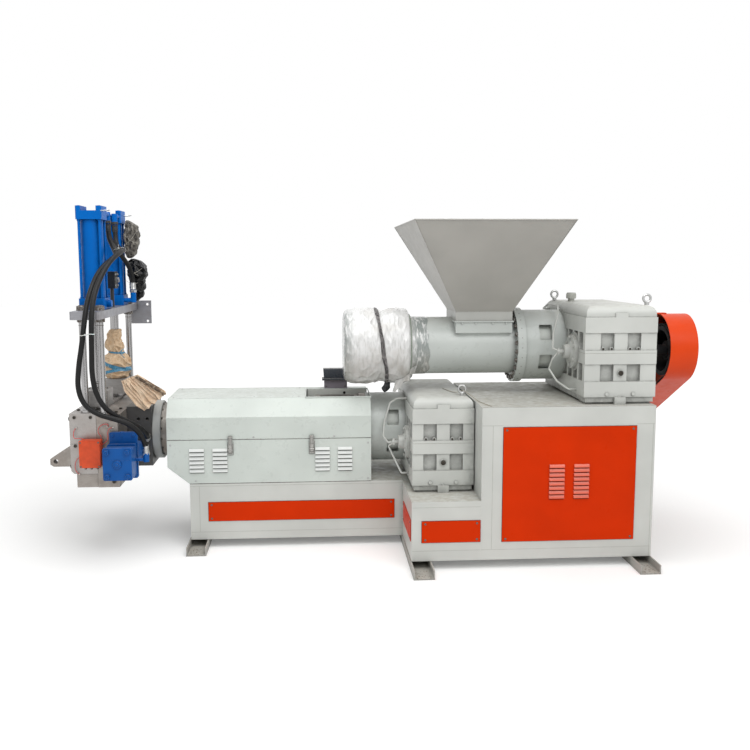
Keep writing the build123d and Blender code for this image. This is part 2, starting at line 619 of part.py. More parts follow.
def belt_outline(r_big, r_small, rise=0):
    """Face between the outer tangents of the two pulley circles, in the YZ plane."""
    big = Pos(INPUT_Y, INPUT_Z + rise) * Circle(r_big)
    small = Pos(MOTOR_SHAFT_Y, MOTOR_SHAFT_Z + rise) * Circle(r_small)
    return Plane.YZ * make_hull(big.edges() + small.edges())


def drive_belt():
    """Band of V-belts, one closed loop."""
    loop = belt_outline(PULLEY_R + BELT_GAP + BELT_T, MOTOR_PULLEY_R + BELT_T) \
        - belt_outline(PULLEY_R + BELT_GAP, MOTOR_PULLEY_R)
    return Pos(PULLEY_X0 + 4, 0, 0) * extrude(loop, PULLEY_W - 8, dir=(1, 0, 0))


def belt_guard():
    """Sheet guard, open towards the gearbox, on two straps."""
    shell = extrude(belt_outline(GUARD_R, GUARD_LOW_R, GUARD_RISE), GUARD_W, dir=(1, 0, 0))
    hollow = extrude(belt_outline(GUARD_R - GUARD_SHEET, GUARD_LOW_R - GUARD_SHEET, GUARD_RISE),
                     GUARD_W - GUARD_SHEET, dir=(1, 0, 0))
    guard = Pos(GUARD_X0, 0, 0) * (shell - hollow)
    half = GUARD_STRAP_W / 2
    reach = GUARD_X0 + 40
    low_z = MOTOR_SHAFT_Z + GUARD_RISE - GUARD_LOW_R
    guard += block(BASE_X1, reach, MOTOR_SHAFT_Y - half, MOTOR_SHAFT_Y + half, low_z - GUARD_STRAP_T + 2,
                   low_z + 2)
    top_z = INPUT_Z + GUARD_RISE + GUARD_R
    strap_z = top_z + GUARD_STRAP_T - 2
    guard += block(UPPER_GEARBOX_X1, reach, INPUT_Y - half, INPUT_Y + half, top_z - 2, strap_z)
    guard += block(UPPER_GEARBOX_X1, UPPER_GEARBOX_X1 + GUARD_STRAP_T, INPUT_Y - half, INPUT_Y + half,
                   strap_z - GUARD_STRAP_DROP, strap_z)
    return guard


def lantern(x0, x1, y, z, radius, window_x1, window_w):
    """Bell housing between gearbox and barrel, with two windows a side."""
    shell = bar_x(x0, x1, y, z, radius) - bar_x(x0 - 1, x1 + 1, y, z, radius - LANTERN_WALL)
    windows = []
    for z0 in (z + WINDOW_FROM_AXIS, z - WINDOW_FROM_AXIS - WINDOW_H):
        opening = block(window_x1 - window_w, window_x1, y - radius - 1, y + radius + 1, z0, z0 + WINDOW_H)
        windows.append(fillet(opening.edges().filter_by(Axis.Y), 8))
    return shell - windows


def upper_barrel():
    """Barrel with its bore and the feed throat under the hopper."""
    barrel = bar_x(BARREL_X0, FLANGE_X0, UPPER_AXIS_Y, UPPER_AXIS_Z, BARREL_R)
    barrel -= bar_x(BARREL_X0 - 1, FLANGE_X0 + 1, UPPER_AXIS_Y, UPPER_AXIS_Z, BARREL_BORE_R)
    half = HOPPER_NECK_DEPTH / 2 - THROAT_MARGIN_Y
    return barrel - block(NECK_X0 + THROAT_MARGIN_X, NECK_X1 - THROAT_MARGIN_X, UPPER_AXIS_Y - half,
                          UPPER_AXIS_Y + half, UPPER_AXIS_Z, UPPER_AXIS_Z + BARREL_R + 10)


def upper_screw():
    """Feed screw: a root with one helical flight, and the plain shank through the lantern."""
    root = bar_x(BARREL_X0, FLANGE_X1, 0, 0, SCREW_ROOT_R)
    shank = bar_x(FLANGE_X1 - 5, UPPER_GEARBOX_X0, 0, 0, SHANK_R)
    tip_r = BARREL_BORE_R - SCREW_GAP
    spread = 180 * SCREW_FLIGHT_W / SCREW_PITCH
    low = SCREW_ROOT_R - 6

    def at(radius, angle):
        turn = math.radians(angle)
        return (radius * math.cos(turn), radius * math.sin(turn))

    crest = ThreePointArc(at(tip_r, -spread), at(tip_r, 0), at(tip_r, spread))
    foot = ThreePointArc(at(low, spread), at(low, 0), at(low, -spread))
    sides = [Line(at(tip_r, spread), at(low, spread)), Line(at(low, -spread), at(tip_r, -spread))]
    section = make_face(Curve() + [crest, sides[0], foot, sides[1]])
    length = FLANGE_X0 - BARREL_X0 - 10
    flight = Solid.extrude_linear_with_rotation(section.face(), (0, 0, 0), (0, 0, length),
                                                360 * length / SCREW_PITCH)
    flight = Pos(BARREL_X0 + 5, 0, 0) * Rot(0, 90, 0) * flight
    return Pos(0, UPPER_AXIS_Y, UPPER_AXIS_Z) * (root + shank + flight)


def discharge_head():
    """Closed head on the end of the upper barrel, bored as far as the screw's tip."""
    head = bar_x(HEAD_X0, BARREL_X0, UPPER_AXIS_Y, UPPER_AXIS_Z, HEAD_R)
    return head - bar_x(HEAD_X0 + HEAD_END_T, BARREL_X0 + 1, UPPER_AXIS_Y, UPPER_AXIS_Z, BARREL_BORE_R)


def film_wrap():
    """Many layers of packing film round the discharge head, drawn in along its waist."""
    inner = HEAD_R + SEAT_GAP
    inside = HEAD_X0 - SEAT_GAP
    outer = [(HEAD_X0 + x, HEAD_R + layer) for x, layer in WRAP_PROFILE]
    profile = [(outer[0][0], 0)] + outer + [(outer[-1][0], inner), (inside, inner), (inside, 0)]
    return turned_x(profile, UPPER_AXIS_Y, UPPER_AXIS_Z)


def hopper_pieces():
    """Sheet hopper, its straight neck, and the saddle that seats them on the barrel."""
    neck = (NECK_X0, NECK_X1, UPPER_AXIS_Y - HOPPER_NECK_DEPTH / 2, UPPER_AXIS_Y + HOPPER_NECK_DEPTH / 2)
    rim = (neck[0] - HOPPER_FLARE_LEFT, neck[1] + HOPPER_FLARE_RIGHT, neck[2] - HOPPER_FLARE_FRONT,
           neck[3] + HOPPER_FLARE_FRONT)
    cone = frustum(neck, NECK_Z, rim, RIM_Z)
    cone -= frustum(inset(neck, SHEET_T), NECK_Z, inset(rim, SHEET_T), RIM_Z)
    barrel = bar_x(BARREL_X0, FLANGE_X0, UPPER_AXIS_Y, UPPER_AXIS_Z, BARREL_R)
    box = block(*neck, SEAM_Z, NECK_Z) - block(*inset(neck, SHEET_T), SEAM_Z - 1, NECK_Z + 1) - barrel
    saddle = block(*inset(neck, -SADDLE_FLANGE), SEAM_Z - SADDLE_FLANGE, SEAM_Z)
    saddle += block(*neck, UPPER_AXIS_Z + SADDLE_BOTTOM_H, SEAM_Z - SADDLE_FLANGE)
    saddle -= block(*inset(neck, SHEET_T), UPPER_AXIS_Z + SADDLE_BOTTOM_H - 1, SEAM_Z + 1)
    return {"hopper": cone, "hopper_neck": box, "hopper_saddle": saddle - barrel}


def lower_barrel():
    """Lower barrel with its end flange and the feed mouth that stands up into the guard's cut-out."""
    x0 = DIE_FLANGE_X1
    barrel = bar_x(x0, LANTERN_X0, 0, LOWER_AXIS_Z, LOWER_BARREL_R)
    barrel += bar_x(x0, x0 + BARREL_END_T, 0, LOWER_AXIS_Z, BARREL_END_R)
    barrel += bar_x(LANTERN_X0 - BARREL_END_T, LANTERN_X0, 0, LOWER_AXIS_Z, LOWER_LANTERN_R - 4)
    mouth_x1 = COVER_X1 - (CUTOUT_LENGTH - MOUTH_LENGTH) / 2
    mouth_x0 = mouth_x1 - MOUTH_LENGTH
    top = LOWER_AXIS_Z + MOUTH_TOP_H
    outer = block(mouth_x0, mouth_x1, -MOUTH_HALF_W, MOUTH_HALF_W, LOWER_AXIS_Z, top)
    flange_y = MOUTH_HALF_W + MOUTH_FLANGE
    outer += block(mouth_x0 - MOUTH_FLANGE, mouth_x1 + MOUTH_FLANGE, -flange_y, flange_y, top - 15, top)
    inner = block(mouth_x0 + MOUTH_WALL, mouth_x1 - MOUTH_WALL, -MOUTH_HALF_W + MOUTH_WALL,
                  MOUTH_HALF_W - MOUTH_WALL, LOWER_AXIS_Z + 40, top + 1)
    return barrel + outer - inner


def guard_outline(sheet):
    """Hood section of the barrel guard as (y, z) points, inset by the sheet."""
    half = BENCH_HALF_W - sheet
    slope_y = BENCH_HALF_W - COVER_CHAMFER_Y - sheet * 0.5
    slope_z = COVER_TOP_Z - COVER_CHAMFER_Z - sheet * 0.3
    top = COVER_TOP_Z - sheet
    return [(-half, COVER_SEAM_Z), (-half, slope_z), (-slope_y, top), (slope_y, top), (half, slope_z),
            (half, COVER_SEAM_Z)]


def barrel_guard():
    """Lid and skirt of the sheet guard over the lower barrel."""
    t = COVER_SHEET
    lid = prism_x(guard_outline(0), COVER_X0, COVER_X1)
    lid -= prism_x(guard_outline(t), COVER_X0 + t, COVER_X1 - t)
    lid -= block(COVER_X1 - CUTOUT_LENGTH, COVER_X1 + 1, CUTOUT_Y0, CUTOUT_Y1, COVER_TOP_Z - CUTOUT_DEPTH,
                 COVER_TOP_Z + 1)
    end_hole = bar_x(COVER_X0 - 1, COVER_X0 + t + 1, 0, LOWER_AXIS_Z, BARREL_END_R)
    lantern_hole = bar_x(COVER_X1 - t - 1, COVER_X1 + 1, 0, LOWER_AXIS_Z, LOWER_LANTERN_R)
    half = BENCH_HALF_W
    skirt = block(COVER_X0, COVER_X1, -half, half, BENCH_TOP_Z, COVER_SEAM_Z)
    skirt -= block(COVER_X0 + t, COVER_X1 - t, -half + t, half - t, BENCH_TOP_Z - 1, COVER_SEAM_Z + 1)
    corner = [(COVER_X0 - 1, BENCH_TOP_Z - 1), (COVER_X0 + COVER_CORNER_L, BENCH_TOP_Z - 1),
              (COVER_X0 - 1, BENCH_TOP_Z + COVER_CORNER_H)]
    skirt -= prism_y(corner, -half - 1, half + 1)
    for start in GUARD_LOUVRE_FROM_LEFT:
        for row in range(GUARD_LOUVRE_ROWS):
            z = COVER_SEAM_Z - GUARD_LOUVRE_FROM_SEAM - LOUVRE_H - row * LOUVRE_PITCH
            x = COVER_X0 + start
            skirt += louvre(x, x + GUARD_LOUVRE_LENGTH, -half, z, -1)
            skirt += louvre(x, x + GUARD_LOUVRE_LENGTH, half, z, 1)
    return {"barrel_guard_lid": lid - end_hole - lantern_hole,
            "barrel_guard_skirt": skirt - end_hole - lantern_hole}


def guard_latches():
    """Toggle latches that hold the lid down on the skirt, two on the front and two on the back."""
    latches = []
    for start in LATCH_FROM_LEFT:
        x = COVER_X0 + start
        for side in (-1, 1):
            y = side * BENCH_HALF_W
            pieces = []
            for width, thickness, low, high in LATCH_PIECES:
                tip = y + side * thickness
                pieces.append(block(x - width / 2, x + width / 2, min(y, tip), max(y, tip),
                                    COVER_SEAM_Z + low, COVER_SEAM_Z + high))
            latches.append(pieces[0] + pieces[1:])
    return Compound(latches)


def vent_pieces():
    """Vent box on the guard's lid and the dark hood on top of it."""
    x0 = COVER_X0 + VENT_FROM_LEFT
    y0 = CUTOUT_Y1 + VENT_BEHIND_CUTOUT
    seam = COVER_TOP_Z + VENT_H
    box = block(x0, x0 + VENT_LENGTH, y0, y0 + VENT_DEPTH, COVER_TOP_Z, seam)
    rim = (x0 - HOOD_REACH, x0 + VENT_LENGTH + HOOD_REACH, y0 - 10, y0 + VENT_DEPTH + 10)
    hood = block(*rim, seam, seam + HOOD_RIM_H)
    hood += frustum(inset(rim, HOOD_FLARE), seam + HOOD_RIM_H, inset(rim, HOOD_FLARE - 4), seam + HOOD_H)
    return {"vent_box": box, "vent_hood": hood}


def die_pieces():
    """Flange, adapter and split die block at the outlet of the lower barrel."""
    flange = bar_x(DIE_FLANGE_X0, DIE_FLANGE_X1, 0, LOWER_AXIS_Z, END_FLANGE_R)
    flange = chamfer(flange.edges().filter_by(GeomType.CIRCLE), 4)
    adapter = block(DIE_X1, DIE_FLANGE_X0, -ADAPTER_HALF_W, ADAPTER_HALF_W, LOWER_AXIS_Z - ADAPTER_DOWN,
                    LOWER_AXIS_Z + ADAPTER_UP)
    for x in (DIE_X1 + ADAPTER_HOLES_X[0], DIE_X1 + ADAPTER_HOLES_X[1]):
        adapter -= bar_y(x, -ADAPTER_HALF_W - 1, -ADAPTER_HALF_W + ADAPTER_HOLE_DEPTH,
                         LOWER_AXIS_Z + ADAPTER_HOLES_UP, ADAPTER_HOLE_R)
    end_x, end_y, end_z = REAR_HOSE[-1]
    adapter += bar_y(end_x, end_y, -ADAPTER_HALF_W + 1, end_z, UNION_R)
    depth = DIE_HALF_DEPTH
    front = block(DIE_X0, DIE_SEAM_X, -depth, depth, DIE_BOTTOM_Z, DIE_TOP_Z)
    front = chamfer(front.edges().filter_by(Axis.Y).group_by(Axis.Z)[0].sort_by(Axis.X)[0], 18)
    back = block(DIE_SEAM_X, DIE_X1, -depth, depth, DIE_FOOT_Z, DIE_TOP_Z - DIE_BACK_STEP)
    foot = block(DIE_X0 + 30, DIE_SEAM_X, -depth + 8, depth - 8, DIE_FOOT_Z, DIE_BOTTOM_Z)
    return {"die_flange": flange, "die_adapter": adapter, "die_block": front, "die_back_block": back,
            "die_base_plate": foot}


def bracket_arm():
    """Tapered arm with an eye on the left of the die block, and its pair at the back."""
    z0 = DIE_BOTTOM_Z + ARM_RISE
    outline = [(DIE_X0 + x, z0 + z) for x, z in ARM_OUTLINE]
    arms = []
    for y in (ARM_Y, -ARM_Y):
        arm = prism_y(outline, y - ARM_T / 2, y + ARM_T / 2)
        arms.append(arm - bar_y(DIE_X0 + ARM_EYE[0], y - ARM_T, y + ARM_T, z0 + ARM_EYE[1], ARM_EYE_R))
    return Compound(arms)


def plate_pieces():
    """Cross plate that carries the cylinders, its end bracket and the four posts."""
    half = TOP_PLATE_W / 2
    by0 = TOP_PLATE_HALF_DEPTH
    plate = block(DIE_X - half, DIE_X + half, -by0, by0, PLATE_Z, PLATE_TOP_Z)
    plate = chamfer(plate.edges().filter_by(Axis.Z), 10)
    for y in (-CYLINDER_Y, CYLINDER_Y):
        plate -= bar_z(CYLINDER_X, y, PLATE_Z - 1, PLATE_TOP_Z + 1, ROD_R + 6)
    bx0 = DIE_X + PLATE_BRACKET_FROM_MID
    bx1 = bx0 + PLATE_BRACKET_LENGTH
    bz1 = PLATE_TOP_Z + PLATE_BRACKET_RISE
    bracket = block(bx0, bx1, by0, by0 + PLATE_BRACKET_T, bz1 - PLATE_BRACKET_H, bz1)
    for z in (bz1 - 26, bz1 - PLATE_BRACKET_H + 17):
        bracket -= bar_y(bx1 - 26, by0 - 1, by0 + PLATE_BRACKET_T + 1, z, 9)
    posts = []
    for dx in (-POST_X, POST_X):
        for dy in (-POST_Y, POST_Y):
            foot_z = DIE_TOP_Z if DIE_X + dx < DIE_SEAM_X else DIE_TOP_Z - DIE_BACK_STEP
            post = bar_z(DIE_X + dx, dy, foot_z, PLATE_Z, POST_R)
            posts.append(post + bar_z(DIE_X + dx, dy, foot_z, foot_z + 16, POST_R + 9))
    return {"cylinder_plate": plate, "plate_bracket": bracket, "tie_posts": Compound(posts)}


def hydraulic_cylinders():
    """Two tie-rod cylinders with slotted square caps and side ports."""
    cylinders = []
    cap_z = CYLINDER_TOP_Z - CYLINDER_CAP_H
    foot_z = PLATE_TOP_Z + CYLINDER_FOOT_H
    half = CYLINDER_W / 2
    foot_mid = PLATE_TOP_Z + CYLINDER_FOOT_H / 2
    port_z = cap_z + CYLINDER_CAP_H / 2
    for y in (-CYLINDER_Y, CYLINDER_Y):
        square = (CYLINDER_X - half, CYLINDER_X + half, y - half, y + half)
        foot = block(*square, PLATE_TOP_Z, foot_z)
        foot = chamfer(foot.edges().filter_by(Axis.Z), CYLINDER_EDGE)
        cap = block(*square, cap_z, CYLINDER_TOP_Z)
        cap = chamfer(cap.edges().filter_by(Axis.Z), CYLINDER_EDGE)
        cap -= block(CYLINDER_X - CYLINDER_SLOT_W / 2, CYLINDER_X + CYLINDER_SLOT_W / 2, y - half - 1,
                     y + half + 1, CYLINDER_TOP_Z - CYLINDER_SLOT_DEPTH, CYLINDER_TOP_Z + 1)
        pieces = [cap, bar_z(CYLINDER_X, y, foot_z, cap_z, CYLINDER_TUBE_R)]
        for dx in (-TIE_ROD_OFFSET, TIE_ROD_OFFSET):
            for dy in (-TIE_ROD_OFFSET, TIE_ROD_OFFSET):
                pieces.append(bar_z(CYLINDER_X + dx, y + dy, foot_z, cap_z, TIE_ROD_R))
        for hose_x, hose_y, hose_z in (FRONT_HOSE[0], REAR_HOSE[0], SHORT_HOSE[0]):
            if hose_y * y > 0:
                inner = y - math.copysign(half - 5, y)
                pieces.append(bar_y(hose_x, min(inner, hose_y), max(inner, hose_y), port_z, HOSE_R))
                pieces.append(bar_z(hose_x, hose_y, hose_z, port_z + HOSE_R, UNION_R))
        if y < 0:
            pieces.append(bar_x(CYLINDER_X + half - 5, CYLINDER_X + half + PORT_LENGTH, y, foot_mid, PORT_R))
        else:
            port_x, port_y, hose_end_z = SHORT_HOSE[-1]
            pieces.append(bar_x(CYLINDER_X + half - 5, port_x, port_y, foot_mid, HOSE_R))
            pieces.append(bar_z(port_x, port_y, foot_mid - HOSE_R, hose_end_z, UNION_R))
        cylinders.append(foot + pieces)
    return Compound(cylinders)


def rods_and_gates():
    """Piston rods with a coupling nut, and the slide gates that stand out of the die block."""
    rods = []
    gates = []
    for y in (-CYLINDER_Y, CYLINDER_Y):
        rod = bar_z(CYLINDER_X, y, GATE_TOP_Z, PLATE_TOP_Z, ROD_R)
        rods.append(rod + bar_z(CYLINDER_X, y, GATE_TOP_Z, GATE_TOP_Z + ROD_NUT_H, ROD_NUT_R))
        gate = block(CYLINDER_X - GATE_W / 2, CYLINDER_X + GATE_W / 2, y - GATE_W / 2, y + GATE_W / 2,
                     DIE_TOP_Z + GATE_LIFT, GATE_TOP_Z)
        gate = chamfer(gate.edges().group_by(Axis.Z)[-1], GATE_EDGE)
        half = GATE_W / 2 - GATE_NECK_INSET
        gates.append(gate + block(CYLINDER_X - half, DIE_SEAM_X - GATE_SEAM_GAP, y - half, y + half,
                                  DIE_TOP_Z, DIE_TOP_Z + GATE_LIFT))
    return {"piston_rods": Compound(rods), "slide_gates": Compound(gates)}


def rod_paper_wrap():
    """Paper tied round the rear piston rod, narrow at its neck and puffed out below."""
    z0 = GATE_TOP_Z + SEAT_GAP
    inner = ROD_NUT_R + SEAT_GAP
    outer = [(radius, z0 + height) for radius, height in PAPER_PROFILE]
    profile = [(inner, z0)] + outer + [(inner, outer[-1][1])]
    face = make_face(Plane.XZ * Polyline(*profile, close=True))
    return Pos(CYLINDER_X, CYLINDER_Y, 0) * revolve(face, axis=Axis.Z)


def kraft_paper_sheet():
    """Loose packing sheet against the front of the adapter, its lower tip over the adapter's edge."""
    outline = [(DIE_X1 + x, LOWER_AXIS_Z + ADAPTER_UP + z) for x, z in SHEET_OUTLINE]
    face_y = -ADAPTER_HALF_W - SEAT_GAP
    return prism_y(outline, face_y - SHEET_FOLD_T, face_y)


def terminal_box():
    """Plastic box for the heater leads, on the front of the die block."""
    x0 = DIE_X0 + TERMINAL_FROM_LEFT
    top = LOWER_AXIS_Z + TERMINAL_H - TERMINAL_DROP
    y1 = -DIE_HALF_DEPTH
    box = block(x0, x0 + TERMINAL_W, y1 - TERMINAL_DEPTH, y1, top - TERMINAL_H, top)
    box = fillet(box.edges().filter_by(Axis.Y), 6)
    lid = block(x0 - 2, x0 + TERMINAL_W + 2, y1 - TERMINAL_DEPTH + 8, y1 - TERMINAL_DEPTH + 20,
                top - TERMINAL_H - 2, top + 2)
    return box + fillet(lid.edges().filter_by(Axis.Y), 6)


def gear_motor_pieces():
    """Blue gear motor with a hose union, and its flange plate on an arm from the adapter."""
    x0 = DIE_X1 - MOTOR_FROM_DIE
    x1 = x0 + MOTOR_W
    z0 = LOWER_AXIS_Z - MOTOR_DROP
    z1 = z0 + MOTOR_H
    y1 = -DIE_HALF_DEPTH - MOTOR_PLATE_T
    y0 = y1 - MOTOR_DEPTH
    motor = block(x0, x1, y0, y1, z0, z1)
    motor = fillet(motor.edges().filter_by(Axis.Y), 10)
    motor -= block(x0 - 1, x1 + 1, y0 + 28, y1 - 30, z1 - MOTOR_GROOVE_T, z1 + 1)
    inset_x = (x0 + MOTOR_BOLT_INSET, x1 - MOTOR_BOLT_INSET)
    inset_z = (z0 + MOTOR_BOLT_INSET, z1 - MOTOR_BOLT_INSET)
    fittings = [bar_y(x, y0 - MOTOR_BOLT_T, y0, z, MOTOR_BOLT_R) for x in inset_x for z in inset_z]
    union_x, union_y, union_z = FRONT_HOSE[-1]
    elbow_z = union_z - UNION_DROP
    fittings.append(bar_x(x1 - 4, union_x, union_y, elbow_z, UNION_STUB_R))
    fittings.append(bar_z(union_x, union_y, elbow_z - UNION_STUB_R - 3, union_z, UNION_R))
    motor += fittings
    px0 = x0 + MOTOR_PLATE_INSET
    pz0 = z0 - MOTOR_PLATE_DROP
    plate = block(px0, px0 + MOTOR_PLATE_W, y1, y1 + MOTOR_PLATE_T, pz0, pz0 + MOTOR_PLATE_H)
    plate = fillet(plate.edges().filter_by(Axis.Y), 12)
    arm_x = (DIE_X1 + DIE_FLANGE_X0) / 2 - MOTOR_ARM_FROM_MID
    plate += bar_y(arm_x, y1 + MOTOR_PLATE_T, -ADAPTER_HALF_W, z0 + MOTOR_H / 2, MOTOR_ARM_R)
    return {"gear_motor": motor, "motor_plate": plate}


def bent_tube(points, radii, tube_r):
    """Round tube along straight runs joined by tangent arcs."""
    route = FilletPolyline(*points, radius=radii)
    start = Plane(origin=route @ 0, z_dir=route % 0)
    return sweep(start * Circle(tube_r), path=route)


def corner_radii(points):
    """Radius of each corner of a hose: 0.45 of its shorter run over the tangent of half the turn."""
    places = [Vector(*point) for point in points]
    runs = [after - before for before, after in zip(places, places[1:])]
    radii = []
    for run, following in zip(runs, runs[1:]):
        half_turn = math.radians(run.get_angle(following) / 2)
        radii.append(0.45 * min(run.length, following.length) / math.tan(half_turn))
    return radii


def hoses():
    """Black hydraulic hoses from the cylinders."""
    made = {}
    for name, points in (("front_hose", FRONT_HOSE), ("rear_hose", REAR_HOSE), ("short_hose", SHORT_HOSE)):
        radii = corner_radii(points)
        made[name] = bent_tube(points, radii, HOSE_R)
        length = made[name].volume / (math.pi * HOSE_R ** 2)
        print(f"{name}: length {length:.0f}, radii {', '.join(f'{radius:.0f}' for radius in radii)}")
    return made


def oil_pipes():
    """Rigid oil pipes from each gearbox to the union on its bearing cap."""
    groups = []
    for (x, y, z), routes in (((UPPER_GEARBOX_X0, INPUT_Y, INPUT_Z), (UPPER_OIL_FEED, UPPER_OIL_RETURN)),
                              ((LOWER_GEARBOX_X0, LOWER_INPUT_Y, LOWER_INPUT_Z),
                               (LOWER_OIL_FEED, LOWER_OIL_RETURN))):
        union_x = x + OIL_UNION[0]
        pieces = [bar_z(union_x, y, z - 18, z + 18, 10)]
        for route in routes:
            pieces.append(bent_tube([(x + dx, y + dy, z + dz) for dx, dy, dz in route], PIPE_BEND_R, PIPE_R))
        groups.append(bar_x(union_x - 12, union_x + 26, y, z, 13) + pieces)
    return Compound(groups)


def packed_bags():
    """Wrapped parts tied to the rear cylinder, and the valve block between the cylinders."""
    face_x = CYLINDER_X + CYLINDER_W / 2 + SEAT_GAP
    foot_top = PLATE_TOP_Z + CYLINDER_FOOT_H
    grey = block(face_x, face_x + GREY_BAG_REACH, CYLINDER_Y + GREY_BAG_Y[0], CYLINDER_Y + GREY_BAG_Y[1],
                 foot_top + GREY_BAG_Z[0], foot_top + GREY_BAG_Z[1])
    grey = fillet(grey.edges().filter_by(Axis.Z).group_by(Axis.X)[-1], GREY_BAG_R)
    black = block(face_x, face_x + BLACK_BAG_REACH, CYLINDER_Y + BLACK_BAG_Y[0], CYLINDER_Y + BLACK_BAG_Y[1],
                  foot_top + BLACK_BAG_Z[0], foot_top + BLACK_BAG_Z[1])
    black = fillet(black.edges().filter_by(Axis.Y).group_by(Axis.X)[-1], BLACK_BAG_R)
    valve_x1 = CYLINDER_X + CYLINDER_W / 2
    valve = block(valve_x1 - VALVE_REACH, valve_x1, -VALVE_HALF_W, VALVE_HALF_W, foot_top + VALVE_Z[0],
                  foot_top + VALVE_Z[1])
    valve += bar_z(valve_x1 - VALVE_REACH / 2, 0, PLATE_TOP_Z, foot_top + VALVE_Z[0], VALVE_PIPE_R)
    return {"grey_film_bag": grey, "black_bag": black, "valve_block": valve}


def lifting_eyes():
    """Eye bolts on the gearbox covers."""
    eyes = []
    front = EYE_FROM_FRONT
    back = GEARBOX_LENGTH - EYE_FROM_FRONT
    upper = EYE_INSETS[0]
    lower = EYE_INSETS[1]
    for x, y, seat in ((UPPER_GEARBOX_X1 - upper, UPPER_GEARBOX_Y0 + front, DECK_Z),
                       (UPPER_GEARBOX_X0 + upper, UPPER_GEARBOX_Y0 + back, DECK_Z),
                       (LOWER_GEARBOX_X0 + LOWER_GEARBOX_W - lower, LOWER_GEARBOX_Y0 + front, STEP_TOP_Z),
                       (LOWER_GEARBOX_X0 + lower, LOWER_GEARBOX_Y0 + back, STEP_TOP_Z)):
        z = seat + GEARBOX_SHIM + GEARBOX_H
        shank = bar_z(x, y, z, z + EYE_SHANK_H, EYE_SHANK_R)
        ring = Pos(x, y, z + EYE_SHANK_H + EYE_R) * Rot(90, 0, 0) * Torus(EYE_R, EYE_WIRE_R)
        eyes.append(shank + ring)
    return Compound(eyes)


def oil_filler_cap():
    """Breather cap on the crown of the upper gearbox."""
    x = UPPER_GEARBOX_X0 + FILLER_FROM_LEFT
    y = UPPER_AXIS_Y
    z = DECK_Z + GEARBOX_SHIM + GEARBOX_H
    return bar_z(x, y, z, z + 18, 20) + bar_z(x, y, z + 18, z + 52, 29)


def save(name, shape):
    moved = shape.moved(Location((-ORIGIN_X, -ORIGIN_Y, 0)))
    export_step(moved, f"parts/{name}.step")


